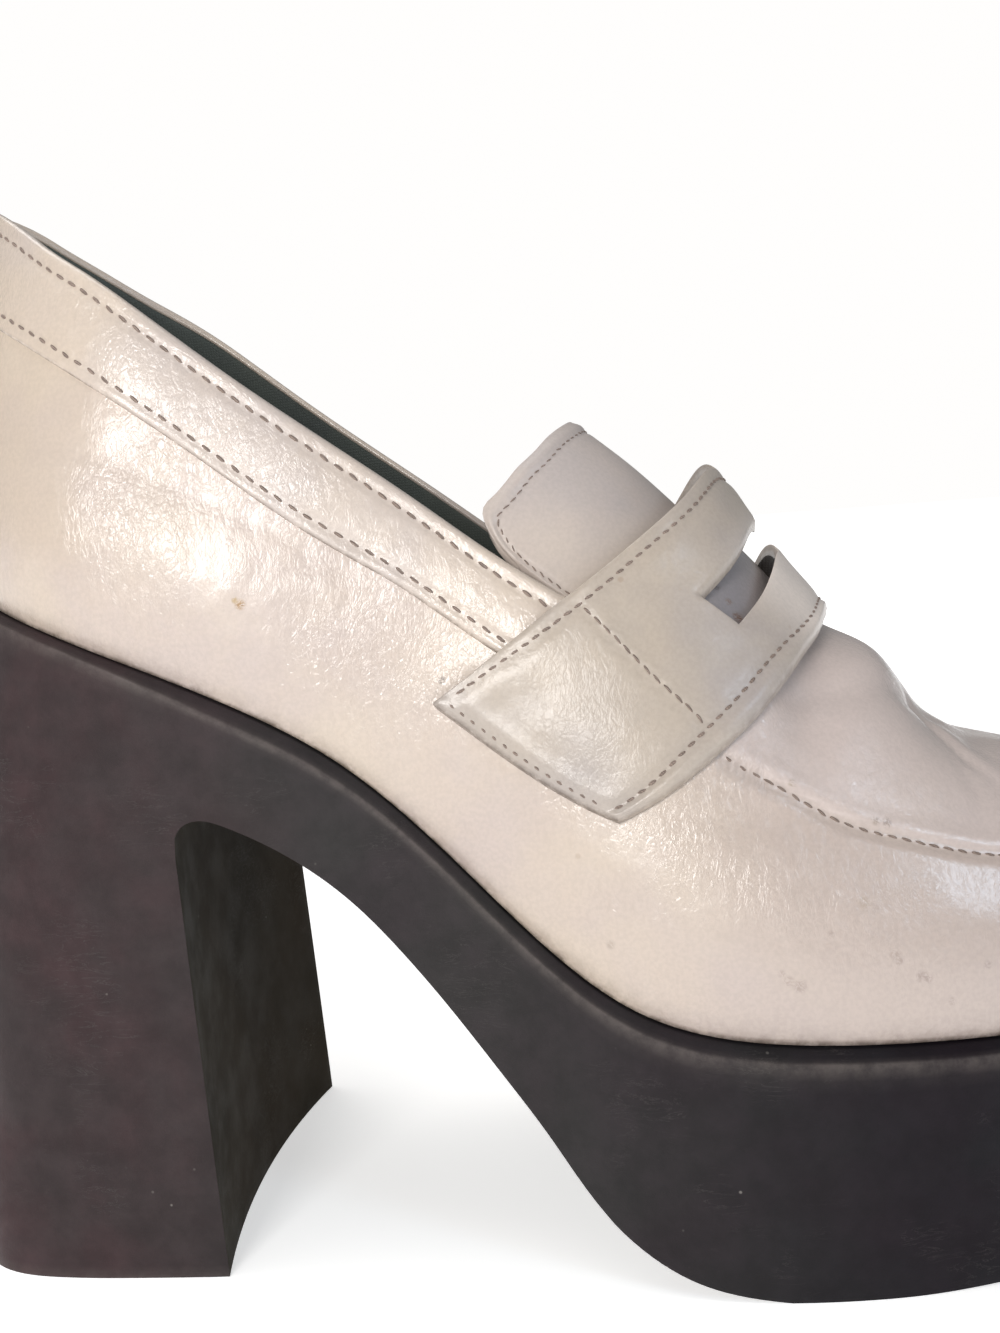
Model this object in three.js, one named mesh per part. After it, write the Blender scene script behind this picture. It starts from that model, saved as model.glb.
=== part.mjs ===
// High block-heel platform penny loafer, right shoe. Millimetres, +X to the toe, +Y to the medial
// side, +Z up, floor at Z = 0. Every curved piece is cut from one last surface
// foot(x, side, v, off): x along the shoe, side -1 lateral / +1 medial, v 0 at the feather edge
// and 1 at the instep ridge, off outward from the outside of the leather.
import * as THREE from 'three';

// ---------- driving sizes ----------
const HEEL_X = 5, HEEL_CAP_X = 40, HEEL_CAP_N = 2.3;     // back of the last, start and fullness of its rounding
const TOE_X = 238, TOE_CAP_X = 172, TOE_CAP_N = 2.35;    // toe end in plan
const TOE_TOP_X = 196, TOE_TOP_N = 2.7;                  // toe end in profile
const COLLAR_CAP_X = 46, COLLAR_CAP_N = 1.65, COLLAR_H = 62;   // the same rounding up at the collar, narrower
const LEAN_REACH = 70;                                   // the back curve fades out over this length
const WALL = 1.6;                                        // leather and lining together
const GAP = 0.35;                                        // air between neighbouring pieces
const LIP_OUT = 2.5, LIP_DROP = 2.6;                     // shoulder of the moulded sole outside the feather
const SEAT_GAP = 0.3;
const FRAME_X = 119.5;                                   // last coordinates to the row frame
const INSOLE_T = 2.6;
const STRAP_T = 2.0, STRAP_LIFT = 5.3;
const TONGUE_T = 1.8, TONGUE_GAP = 0.5;
const HEEL_BREAST_X = 49.6, BREAST_LEAN = 0.034, BREAST_SAG = 4;
const ARCH_SPRING_Z = 73.1;                              // height where the breast turns into the arch

// ---------- the last, one row for each station ----------
// x, lateral half width, medial half width, centre line y, feather z, ridge z, crown, side, bulge
const LAST = [
  [  5, 32.0, 31.0, 0.0, 119.6, 212.0, 2.10, 2.60, 1.2],
  [ 20, 32.2, 31.2, 0.0, 114.3, 210.0, 2.10, 2.50, 1.4],
  [ 40, 32.5, 31.0, 0.0, 106.0, 203.5, 2.00, 2.30, 1.4],
  [ 60, 32.2, 29.5, 0.0,  96.5, 192.0, 2.00, 2.15, 1.0],
  [ 75, 31.3, 27.6, 0.0,  87.0, 181.0, 2.00, 2.10, 0.6],
  [ 90, 31.8, 27.4, 0.0,  73.3, 168.3, 2.00, 1.95, 0.4],
  [105, 35.0, 29.8, 0.0,  58.2, 155.2, 2.00, 1.80, 0.4],
  [120, 39.4, 34.0, 0.0,  46.9, 141.6, 2.00, 1.70, 0.6],
  [135, 42.0, 37.5, 0.2,  42.0, 127.4, 2.00, 1.65, 0.9],
  [150, 42.6, 39.7, 0.8,  40.4, 111.4, 2.00, 1.65, 1.2],
  [165, 41.8, 40.2, 1.8,  39.7,  97.2, 2.10, 1.75, 1.2],
  [180, 39.6, 39.2, 3.0,  39.2,  84.4, 2.20, 1.90, 1.2],
  [195, 37.6, 38.2, 4.2,  39.3,  78.6, 2.30, 2.10, 1.0],
  [210, 36.4, 37.0, 5.2,  40.0,  76.6, 2.40, 2.30, 0.8],
  [225, 35.6, 36.2, 6.0,  41.4,  75.6, 2.50, 2.50, 0.6],
  [239, 35.2, 35.8, 6.4,  43.0,  75.0, 2.50, 2.60, 0.6],
];
// height above the feather, forward shift of the back curve
const BACK = [[0, 0], [12, -1.6], [25, -1.9], [40, -0.4], [55, 2.6], [70, 6.4], [95, 14]];
// topline: x, z
const TOPLINE = [[5, 189], [10, 188.5], [15, 186.5], [20, 183.8], [25, 180.9], [30, 177.2], [36, 172.3], [45, 164.9], [60, 152.4], [75, 140.7], [90, 129.2], [104, 118.2], [114, 111.3]];
// throat edge of the vamp under the strap: x, v
const THROAT = [[114, 0.563], [118, 0.585], [123.5, 0.623], [128, 0.678], [132.5, 0.735], [136, 0.785],
  [139, 0.838], [141.2, 0.885], [142.8, 0.926], [143.9, 0.964], [144.5, 1]];
// underside of the sole from the breast to the toe: x, z
const ARCH = [[47.2, 76.2], [48.6, 78.4], [51.6, 79.3], [55.5, 78.2], [59.8, 76.1], [66.2, 72.2], [75.7, 64.3], [83.4, 55.6], [91.2, 45.6],
  [99, 35], [106.7, 24.5], [114.1, 13.9], [121.6, 6.8], [129.2, 2.7], [136.9, 0.8], [143, 0]];
const TREAD_FLAT_END = 158, TOE_SPRING = 0.00175;
// how far the sole wall runs out below its lip: x, mm at the floor
const FLARE = [[5, 4.0], [25, 3.0], [50, 2.4], [80, 1.2], [120, 0.5], [150, 0.4], [200, 0.2], [239, -0.6]];
// penny strap, lateral end to ridge: rear x, rear v, front x, front v, slot from, slot to (0 rear .. 1 front), lift 0..1
const STRAP = [
  [ 92.5, 0.228, 121.0, 0.273, 0.46, 0.70, 0.00],
  [102.1, 0.374, 130.8, 0.369, 0.46, 0.70, 0.00],
  [111.4, 0.508, 140.0, 0.484, 0.45, 0.69, 0.02],
  [118.0, 0.592, 146.0, 0.580, 0.44, 0.68, 0.10],
  [125.0, 0.678, 150.3, 0.668, 0.42, 0.66, 0.30],
  [131.5, 0.765, 153.5, 0.745, 0.40, 0.64, 0.55],
  [136.5, 0.860, 156.8, 0.845, 0.37, 0.59, 0.82],
  [140.5, 1.000, 159.4, 1.000, 0.34, 0.55, 1.00],
];
const SLOT_ROW = 4;                                      // the slot begins at this row
// tongue, side edge to ridge: v, rear x, front x
const TONGUE = [
  [0.585, 107.5, 124], [0.592, 104.9, 125], [0.603, 103.2, 126.5], [0.618, 102.2, 128], [0.640, 102.1, 130.5], [0.673, 103.5, 134],
  [0.713, 105.2, 138], [0.753, 107.0, 141], [0.805, 109.8, 144.5], [0.856, 112.1, 147], [0.900, 114.0, 148.8], [0.945, 115.6, 150.3], [1.000, 116.6, 151.5],
];

// ---------- small helpers ----------
function spline(rows, col = 1) {                         // natural cubic through [x, ...] rows
  const x = rows.map(r => r[0]), y = rows.map(r => r[col]), n = x.length;
  const h = x.slice(1).map((v, i) => v - x[i]), m = new Array(n).fill(0), c = [], d = [];
  for (let i = 1; i < n - 1; i++) {
    const a = h[i - 1], b = 2 * (h[i - 1] + h[i]), g = h[i], r = 6 * ((y[i + 1] - y[i]) / h[i] - (y[i] - y[i - 1]) / h[i - 1]);
    const w = b - a * (c[i - 1] ?? 0);
    c[i] = g / w; d[i] = (r - a * (d[i - 1] ?? 0)) / w;
  }
  for (let i = n - 2; i > 0; i--) m[i] = d[i] - c[i] * m[i + 1];
  return t => {
    const q = Math.min(Math.max(t, x[0]), x[n - 1]);
    let i = 0; while (i < n - 2 && q > x[i + 1]) i++;
    const a = (x[i + 1] - q) / h[i], b = 1 - a;
    return a * y[i] + b * y[i + 1] + ((a ** 3 - a) * m[i] + (b ** 3 - b) * m[i + 1]) * h[i] * h[i] / 6;
  };
}
const linear = (rows, col = 1) => t => {
  const n = rows.length; if (t <= rows[0][0]) return rows[0][col]; if (t >= rows[n - 1][0]) return rows[n - 1][col];
  let i = 0; while (t > rows[i + 1][0]) i++;
  return rows[i][col] + (rows[i + 1][col] - rows[i][col]) * (t - rows[i][0]) / (rows[i + 1][0] - rows[i][0]);
};
const lerp = (a, b, t) => a + (b - a) * t;
const mix = (p, q, t) => p.map((v, k) => lerp(v, q[k], t));
const cap = (u, n) => Math.max(0, 1 - Math.min(Math.max(u, 0), 1) ** n) ** (1 / n);
const steps = (a, b, n) => Array.from({ length: n + 1 }, (_, i) => lerp(a, b, i / n));
const easeOut = (a, b, n) => steps(0, 1, n).map(t => lerp(a, b, 1 - Math.cos(t * Math.PI / 2)));      // dense at a
const easeIn = (a, b, n) => steps(0, 1, n).map(t => lerp(a, b, Math.sin(t * Math.PI / 2)));           // dense at b
const joinRuns = (...runs) => runs.flatMap((r, i) => i ? r.slice(1) : r);

const [latW, medW, centreY, featherZ, ridgeZ, crown, side_, bulge] = [1, 2, 3, 4, 5, 6, 7, 8].map(c => spline(LAST, c));
const back = spline(BACK), topZ = spline(TOPLINE), throatV = spline(THROAT), archZ = spline([[46.9, ARCH_SPRING_Z], ...ARCH]), flare = linear(FLARE);

// ---------- the last surface ----------
function halfWidth(x, side, off) {
  const w = (side < 0 ? latW(x) : medW(x)) + off;
  const t = x > TOE_CAP_X ? cap((x - TOE_CAP_X) / (TOE_X + off - TOE_CAP_X), TOE_CAP_N) : 1;
  return w * t;
}
function heelCap(x, off, up, square = 0) {               // rounding of the back, up above the feather; the heel block is squarer by square
  const f = Math.min(Math.max(up / COLLAR_H, 0), 1), from = lerp(HEEL_CAP_X, COLLAR_CAP_X, f);
  return x < from ? cap((from - x) / (from - HEEL_X + off), lerp(HEEL_CAP_N, COLLAR_CAP_N, f) + square) : 1;
}
const stationAt = (x, off) => HEEL_X - off + (x - HEEL_X) * (TOE_X - HEEL_X + 2 * off) / (TOE_X - HEEL_X);
const ARCS = 90;
function section(x, side, off) {                         // half section from the feather up to the ridge
  const s = stationAt(x, off), w = halfWidth(s, side, off), zf = featherZ(s);
  const slope = (ridgeZ(s + 1) - ridgeZ(s - 1)) / 2;
  let h = ridgeZ(s) - zf + off * Math.hypot(1, slope);
  if (s > TOE_TOP_X) h *= cap((s - TOE_TOP_X) / (TOE_X + off - TOE_TOP_X), TOE_TOP_N);
  const a = crown(s), b = side_(s), fade = Math.max(0, 1 - (x - HEEL_X) / LEAN_REACH) ** 2, pts = [];
  for (let i = 0; i <= ARCS; i++) {
    const t = i / ARCS * Math.PI / 2, zr = h * Math.sin(t) ** (2 / b);
    const wz = w * heelCap(s, off, zr);
    let y = i === ARCS ? 0 : wz * Math.cos(t) ** (2 / a);
    y += bulge(s) * wz / 30 * Math.sin(Math.PI * Math.min(zr / 34, 1));
    pts.push([s + back(zr) * fade, centreY(s) + side * y, zf + zr]);
  }
  const run = [0]; for (let i = 1; i <= ARCS; i++) run.push(run[i - 1] + Math.hypot(...pts[i].map((v, k) => v - pts[i - 1][k])));
  return { pts, run, len: run[ARCS] };
}
function along(sec, v) {
  const t = Math.min(Math.max(v, 0), 1) * sec.len; let i = 0; while (i < ARCS - 1 && t > sec.run[i + 1]) i++;
  const d = sec.run[i + 1] - sec.run[i];
  return mix(sec.pts[i], sec.pts[i + 1], d > 0 ? (t - sec.run[i]) / d : 0);
}
const kept = new Map();
function foot(x, side, v, off = 0) {
  const key = `${x.toFixed(4)} ${side} ${off.toFixed(4)}`;
  if (!kept.has(key)) kept.set(key, section(x, side, off));
  return along(kept.get(key), v);
}
function toplineV(x, side, off = 0) {                    // where the section crosses the topline
  let lo = 0.2, hi = 1;
  for (let i = 0; i < 40; i++) { const m = (lo + hi) / 2, p = foot(x, side, m, off); if (p[2] > topZ(p[0])) hi = m; else lo = m; }
  return (lo + hi) / 2;
}
function openV(x, side, off = 0) {                       // top edge of the upper: topline, then throat, then ridge
  const x0 = THROAT[0][0], x1 = THROAT.at(-1)[0];
  if (x >= x1 - 1e-6) return 1;
  if (x <= x0) return toplineV(x, side, off);
  const v0 = toplineV(x0, side, off), t0 = THROAT[0][1];
  return v0 + (throatV(x) - t0) / (1 - t0) * (1 - v0);
}

// ---------- builders ----------
class Skin {                                             // a sheet of cells with two faces, closed by walls round its free edges
  constructor() { this.map = new Map(); this.a = []; this.b = []; this.tri = []; }
  node(key, outer, inner) { if (!this.map.has(key)) { this.map.set(key, this.a.length); this.a.push(outer); this.b.push(inner); } return this.map.get(key); }
  cell(p, q, r, s) { for (const t of [[p, q, r], [p, r, s]]) if (new Set(t).size === 3) this.tri.push(t); }
  solid() {
    const n = this.a.length, out = [], edges = new Map();
    for (const [p, q, r] of this.tri) { out.push([p, q, r], [n + p, n + r, n + q]); for (const [e, f] of [[p, q], [q, r], [r, p]]) edges.set(`${e},${f}`, [e, f]); }
    for (const [e, f] of edges.values()) if (!edges.has(`${f},${e}`)) out.push([f, e, n + e], [f, n + e, n + f]);
    return closed([...this.a, ...this.b], out);
  }
}
class Hull {                                             // a closed surface made cell by cell
  constructor() { this.map = new Map(); this.p = []; this.tri = []; }
  node(key, point) { if (!this.map.has(key)) { this.map.set(key, this.p.length); this.p.push(point); } return this.map.get(key); }
  cell(p, q, r, s) { for (const t of [[p, q, r], [p, r, s]]) if (new Set(t).size === 3) this.tri.push(t); }
  solid() { return closed(this.p, this.tri); }
}
function closed(points, tris) {                          // outward winding
  let vol = 0;
  for (const [a, b, c] of tris) { const [p, q, r] = [points[a], points[b], points[c]];
    vol += p[0] * (q[1] * r[2] - q[2] * r[1]) + p[1] * (q[2] * r[0] - q[0] * r[2]) + p[2] * (q[0] * r[1] - q[1] * r[0]); }
  return { points, tris: vol < 0 ? tris.map(([a, b, c]) => [a, c, b]) : tris };
}

// ---------- upper: one hollow shell ----------
function upper() {
  const xs = joinRuns(easeOut(HEEL_X, HEEL_CAP_X - 2, 9), steps(HEEL_CAP_X - 2, 114, 10), THROAT.map(r => r[0]), steps(144.5, 200, 9), easeIn(200, TOE_X, 10));
  const rows = 15, skin = new Skin(), n = xs.length - 1;
  const id = (side, i, j) => {
    const x = xs[i], v = j / rows * openV(x, side), key = i === n ? 'tip' : i === 0 ? `back ${j}` : (j === rows && x >= 144.49) ? `ridge ${i}` : `${side} ${i} ${j}`;
    return skin.node(key, foot(x, side, v, 0), foot(x, side, j / rows * openV(x, side, -WALL), -WALL));
  };
  for (const side of [-1, 1]) for (let i = 0; i < n; i++) for (let j = 0; j < rows; j++) {
    const q = [id(side, i, j), id(side, i + 1, j), id(side, i + 1, j + 1), id(side, i, j + 1)];
    skin.cell(...(side < 0 ? q : q.reverse()));
  }
  return skin.solid();
}

// ---------- tongue: a plate inside the throat ----------
function tongue() {
  const skin = new Skin(), cols = 12, n = TONGUE.length - 1, off = -(WALL + TONGUE_GAP);
  const id = (side, i, j) => {
    const [v, x0, x1] = TONGUE[i], x = lerp(x0, x1, j / cols);
    return skin.node(i === n ? `ridge ${j}` : `${side} ${i} ${j}`, foot(x, side, v, off), foot(x, side, v, off - TONGUE_T));
  };
  for (const side of [-1, 1]) for (let i = 0; i < n; i++) for (let j = 0; j < cols; j++) {
    const q = [id(side, i, j), id(side, i, j + 1), id(side, i + 1, j + 1), id(side, i + 1, j)];
    skin.cell(...(side < 0 ? q : q.reverse()));
  }
  return skin.solid();
}

// ---------- penny strap: a slotted saddle arched over the vamp ----------
function saddleStrap() {
  const skin = new Skin(), n = STRAP.length - 1, fine = 2;
  const at = STRAP[0].map((_, c) => spline(STRAP.map((r, i) => [i, r[c]])));
  const lane = (a, k) => { const s0 = at[4](a), s1 = at[5](a); return k <= 3 ? s0 * k / 3 : k <= 5 ? lerp(s0, s1, (k - 3) / 2) : lerp(s1, 1, (k - 5) / 3); };
  const id = (side, i, k) => {
    const a = i / fine, b = lane(a, k), x = lerp(at[0](a), at[2](a), b), v = i === n * fine ? 1 : lerp(at[1](a), at[3](a), b);
    const off = GAP + STRAP_LIFT * (1 - b) * at[6](a);
    return skin.node(i === n * fine ? `ridge ${k}` : `${side} ${i} ${k}`, foot(x, side, v, off + STRAP_T), foot(x, side, v, off));
  };
  for (const side of [-1, 1]) for (let i = 0; i < n * fine; i++) for (let k = 0; k < 8; k++) {
    if (i >= SLOT_ROW * fine && (k === 3 || k === 4)) continue;
    const q = [id(side, i, k), id(side, i, k + 1), id(side, i + 1, k + 1), id(side, i + 1, k)];
    skin.cell(...(side < 0 ? q : q.reverse()));
  }
  return skin.solid();
}

// ---------- insole ----------
function insole() {
  const off = -(WALL + GAP), xs = joinRuns(easeOut(HEEL_X, 38, 7), steps(38, 190, 20), easeIn(190, TOE_X, 8)), n = xs.length - 1, across = 4;
  const skin = new Skin();
  const id = (i, k) => {
    const l = foot(xs[i], -1, 0, off), m = foot(xs[i], 1, 0, off), p = mix(l, m, k / across);
    return skin.node(i === 0 || i === n ? `end ${i}` : `${i} ${k}`, [p[0], p[1], p[2] + INSOLE_T], p);
  };
  for (let i = 0; i < n; i++) for (let k = 0; k < across; k++) skin.cell(id(i, k), id(i + 1, k), id(i + 1, k + 1), id(i, k + 1));
  return skin.solid();
}

// ---------- sole: platform, waist and block heel in one moulding ----------
const HEEL_SQUARE = 2.1;                                 // how much squarer the heel block is at the floor than at the feather
function soleWall(x, side, off, square = 0) { const s = stationAt(x, off); return [s, centreY(s) + side * halfWidth(s, side, off) * heelCap(s, off, 0, square)]; }
function stationOf(X, off) { return HEEL_X + (X - HEEL_X + off) * (TOE_X - HEEL_X) / (TOE_X - HEEL_X + 2 * off); }  // the station whose wall stands at X
function underZ(x) { return x <= 143 ? archZ(x) : x <= TREAD_FLAT_END ? 0 : TOE_SPRING * (x - TREAD_FLAT_END) ** 2; }
function soleUnit() {
  const breastX = z => HEEL_BREAST_X - BREAST_LEAN * z;
  const wallOff = (x, z) => LIP_OUT + flare(x) * (1 - z / (featherZ(x) - LIP_DROP));
  const breastAt = z => stationOf(breastX(z), wallOff(breastX(z), z)), breastTop = breastAt(ARCH_SPRING_Z);
  const heelXs = joinRuns(easeOut(HEEL_X, 38, 8), steps(38, breastTop, 1));
  const arched = joinRuns([47.9, 49.4, 51.6, 55.5, 60], steps(60, 112, 9)).map(X => stationOf(X, wallOff(X, archZ(X))));
  const footXs = joinRuns([breastTop], [breastTop, ...arched], [arched[arched.length - 1], 118, 124, 130.3, 136.6, 143], [143, 150.5, TREAD_FLAT_END], steps(TREAD_FLAT_END, 200, 6), easeIn(200, TOE_X, 9));
  const xs = joinRuns(heelXs, footXs), ib = heelXs.length - 1, n = xs.length - 1;
  const heelRows = 5, wallRows = 4, across = 4, body = new Hull();
  const lipZ = x => featherZ(stationAt(x, LIP_OUT)) - LIP_DROP;
  // one column of the side wall: rows 0..heelRows below the arch spring (heel only), then wallRows up to the lip, then the seat edge
  const total = heelRows + wallRows;
  const edge = (side, i, r) => {
    const x = xs[i];
    if (r > total) { const [X, Y] = soleWall(x, side, 0.2); return [X, Y, featherZ(X) - SEAT_GAP]; }
    let z, xn = x;
    if (r <= heelRows && i <= ib) { z = ARCH_SPRING_Z * r / heelRows; xn = HEEL_X + (x - HEEL_X) * (breastAt(z) - HEEL_X) / (breastTop - HEEL_X); }
    else { const z0 = i <= ib ? ARCH_SPRING_Z : underZ(x < 116 ? stationAt(x, wallOff(x, archZ(x))) : x); z = lerp(z0, lipZ(x), (r - heelRows) / wallRows); }
    const [X, Y] = soleWall(xn, side, wallOff(xn, z), HEEL_SQUARE * (1 - z / (featherZ(xn) - LIP_DROP))); return [X, Y, z];
  };
  const name = (side, i, r) => i === 0 || i === n ? `end ${i} ${r}` : `${side} ${i} ${r}`;
  const id = (side, i, r) => body.node(name(side, i, r), edge(side, i, r));
  const sag = (i, r) => {                                // hollow of the breast in plan, spent along the floor and the arch
    if (r === total + 1) return 0;
    const x = xs[i], t = i <= ib ? (x - HEEL_X) / (breastTop - HEEL_X) : Math.max(0, 1 - (x - breastTop) / 16);
    return BREAST_SAG * (i <= ib && r === 0 ? t * t : t);
  };
  const cross = (i, r, k) => {
    if (i === 0 || i === n) return id(-1, i, r);
    if (k === 0) return id(-1, i, r); if (k === across) return id(1, i, r);
    const p = mix(edge(-1, i, r), edge(1, i, r), k / across), u = 2 * k / across - 1;
    return body.node(`x ${i} ${r} ${k}`, [p[0] - sag(i, r) * (1 - u * u), p[1], p[2]]);
  };
  for (const side of [-1, 1]) for (let i = 0; i < n; i++) for (let r = i < ib ? 0 : heelRows; r <= total; r++) {
    const q = [id(side, i, r), id(side, i + 1, r), id(side, i + 1, r + 1), id(side, i, r + 1)];
    body.cell(...(side < 0 ? q : q.reverse()));
  }
  for (let k = 0; k < across; k++) {
    for (let i = 0; i < n; i++) {
      body.cell(cross(i, total + 1, k), cross(i + 1, total + 1, k), cross(i + 1, total + 1, k + 1), cross(i, total + 1, k + 1));
      const r = i < ib ? 0 : heelRows;
      body.cell(cross(i, r, k + 1), cross(i + 1, r, k + 1), cross(i + 1, r, k), cross(i, r, k));
    }
    for (let r = 0; r < heelRows; r++) body.cell(cross(ib, r, k), cross(ib, r, k + 1), cross(ib, r + 1, k + 1), cross(ib, r + 1, k));
  }
  return body.solid();
}

// ---------- assembly ----------
const solids = [
  ['sole_unit', soleUnit(), 0x3c393c, 0.62],
  ['upper', upper(), 0xd8cec5, 0.32],
  ['tongue', tongue(), 0xcfc7c2, 0.36],
  ['saddle_strap', saddleStrap(), 0xcbc3c0, 0.36],
  ['insole', insole(), 0x4d5149, 0.7],
];
// the row origin is the middle of the floor rectangle round the shoe

const shift = [-FRAME_X, 0, 0];
const group = new THREE.Group();
group.name = 'platform_shoe';
for (const [name, { points, tris }, color, roughness] of solids) {
  const g = new THREE.BufferGeometry();
  g.setAttribute('position', new THREE.Float32BufferAttribute(points.flatMap(p => p.map((v, k) => v + shift[k])), 3));
  g.setIndex(tris.flat());
  g.computeVertexNormals();
  const mesh = new THREE.Mesh(g, new THREE.MeshStandardMaterial({ color, roughness, metalness: 0 }));
  mesh.name = name;
  group.add(mesh);
}
export default group;
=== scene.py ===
import bpy, bmesh, math
import numpy as np
from mathutils import Matrix, Vector


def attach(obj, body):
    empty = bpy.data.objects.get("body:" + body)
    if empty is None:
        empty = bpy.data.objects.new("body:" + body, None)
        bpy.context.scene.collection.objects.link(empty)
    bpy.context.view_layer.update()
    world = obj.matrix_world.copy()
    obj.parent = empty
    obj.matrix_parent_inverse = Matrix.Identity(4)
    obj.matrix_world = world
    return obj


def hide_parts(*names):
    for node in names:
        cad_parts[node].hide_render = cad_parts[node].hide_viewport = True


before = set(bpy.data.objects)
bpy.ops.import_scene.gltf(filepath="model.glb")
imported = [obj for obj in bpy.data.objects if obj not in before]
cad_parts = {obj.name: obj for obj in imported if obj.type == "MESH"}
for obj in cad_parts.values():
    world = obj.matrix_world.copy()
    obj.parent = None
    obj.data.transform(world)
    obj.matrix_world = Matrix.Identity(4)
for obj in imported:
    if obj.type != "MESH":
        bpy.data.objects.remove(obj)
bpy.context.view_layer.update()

# ------------------------------------------------------------------ sizes, millimetres, as the solids have them
FRAME_X = 119.5
HEEL_X, HEEL_CAP_X, HEEL_CAP_N = 5.0, 40.0, 2.3
TOE_X, TOE_CAP_X, TOE_CAP_N = 238.0, 172.0, 2.35
TOE_TOP_X, TOE_TOP_N = 196.0, 2.7
COLLAR_CAP_X, COLLAR_CAP_N, COLLAR_H = 46.0, 1.65, 62.0
LEAN_REACH = 70.0
WALL, GAP = 1.6, 0.35
HEEL_BREAST_X, BREAST_LEAN, BREAST_SAG, ARCH_SPRING_Z = 49.6, 0.034, 4.0, 73.1
TREAD_FLAT_END, TOE_SPRING = 158.0, 0.00175
# x, lateral half width, medial half width, centre y, feather z, ridge z, crown, side, bulge
LAST = [
    (5, 32.0, 31.0, 0.0, 119.6, 212.0, 2.10, 2.60, 1.2), (20, 32.2, 31.2, 0.0, 114.3, 210.0, 2.10, 2.50, 1.4),
    (40, 32.5, 31.0, 0.0, 106.0, 203.5, 2.00, 2.30, 1.4), (60, 32.2, 29.5, 0.0, 96.5, 192.0, 2.00, 2.15, 1.0),
    (75, 31.3, 27.6, 0.0, 87.0, 181.0, 2.00, 2.10, 0.6), (90, 31.8, 27.4, 0.0, 73.3, 168.3, 2.00, 1.95, 0.4),
    (105, 35.0, 29.8, 0.0, 58.2, 155.2, 2.00, 1.80, 0.4), (120, 39.4, 34.0, 0.0, 46.9, 141.6, 2.00, 1.70, 0.6),
    (135, 42.0, 37.5, 0.2, 42.0, 127.4, 2.00, 1.65, 0.9), (150, 42.6, 39.7, 0.8, 40.4, 111.4, 2.00, 1.65, 1.2),
    (165, 41.8, 40.2, 1.8, 39.7, 97.2, 2.10, 1.75, 1.2), (180, 39.6, 39.2, 3.0, 39.2, 84.4, 2.20, 1.90, 1.2),
    (195, 37.6, 38.2, 4.2, 39.3, 78.6, 2.30, 2.10, 1.0), (210, 36.4, 37.0, 5.2, 40.0, 76.6, 2.40, 2.30, 0.8),
    (225, 35.6, 36.2, 6.0, 41.4, 75.6, 2.50, 2.50, 0.6), (239, 35.2, 35.8, 6.4, 43.0, 75.0, 2.50, 2.60, 0.6)]
BACK = [(0, 0), (12, -1.6), (25, -1.9), (40, -0.4), (55, 2.6), (70, 6.4), (95, 14)]
TOPLINE = [(5, 189), (10, 188.5), (15, 186.5), (20, 183.8), (25, 180.9), (30, 177.2), (36, 172.3), (45, 164.9), (60, 152.4), (75, 140.7),
           (90, 129.2), (104, 118.2), (114, 111.3)]
THROAT = [(114, 0.563), (118, 0.585), (123.5, 0.623), (128, 0.678), (132.5, 0.735), (136, 0.785), (139, 0.838), (141.2, 0.885),
          (142.8, 0.926), (143.9, 0.964), (144.5, 1)]
ARCH = [(46.9, 73.1), (47.2, 76.2), (48.6, 78.4), (51.6, 79.3), (55.5, 78.2), (59.8, 76.1), (66.2, 72.2), (75.7, 64.3), (83.4, 55.6),
        (91.2, 45.6), (99, 35), (106.7, 24.5), (114.1, 13.9), (121.6, 6.8), (129.2, 2.7), (136.9, 0.8), (143, 0)]
FLARE = [(5, 4.0), (25, 3.0), (50, 2.4), (80, 1.2), (120, 0.5), (150, 0.4), (200, 0.2), (239, -0.6)]
# height of the shoulder between the feather and the outer edge of the sole
SHOULDER = [(5, 1.9), (40, 2.0), (47, 2.5), (55, 3.1), (80, 3.1), (110, 2.9), (140, 2.5), (170, 2.4), (240, 2.4)]
# penny strap, lateral end to ridge: rear x, rear v, front x, front v, slot from, slot to, lift
STRAP = [(92.5, .228, 121.0, .273, .46, .70, 0.00), (102.1, .374, 130.8, .369, .46, .70, 0.00), (111.4, .508, 140.0, .484, .45, .69, .02),
         (118.0, .592, 146.0, .580, .44, .68, .10), (125.0, .678, 150.3, .668, .42, .66, .30), (131.5, .765, 153.5, .745, .40, .64, .55),
         (136.5, .860, 156.8, .845, .37, .59, .82), (140.5, 1.000, 159.4, 1.000, .34, .55, 1.00)]
SLOT_ROW, STRAP_T, STRAP_LIFT = 4.0, 2.0, 5.3
TONGUE = [(.585, 107.5, 124), (.592, 104.9, 125), (.603, 103.2, 126.5), (.618, 102.2, 128), (.640, 102.1, 130.5), (.673, 103.5, 134),
          (.713, 105.2, 138), (.753, 107.0, 141), (.805, 109.8, 144.5), (.856, 112.1, 147), (.900, 114.0, 148.8), (.945, 115.6, 150.3), (1.0, 116.6, 151.5)]
TONGUE_T, TONGUE_GAP = 1.8, 0.5
# apron seam on the side: x, v (it meets the topline under the strap and crosses the toe near x = 224)
APRON = [(112.0, .566), (115.9, .557), (122.8, .534), (128.8, .504), (134.2, .481), (137.6, .458), (143.6, .445), (149.5, .432), (155.4, .415),
         (164.8, .412), (173.0, .418), (181.2, .428), (192.0, .445), (203.0, .480), (212.0, .550), (218.0, .660), (221.5, .800), (223.0, 1.0)]
# lower edge of the collar facing: x, v
FACING = [(5, .545), (19.3, .480), (40.8, .411), (57.2, .372), (72.6, .350), (88.1, .377), (102.0, .400), (112.0, .418)]


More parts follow.
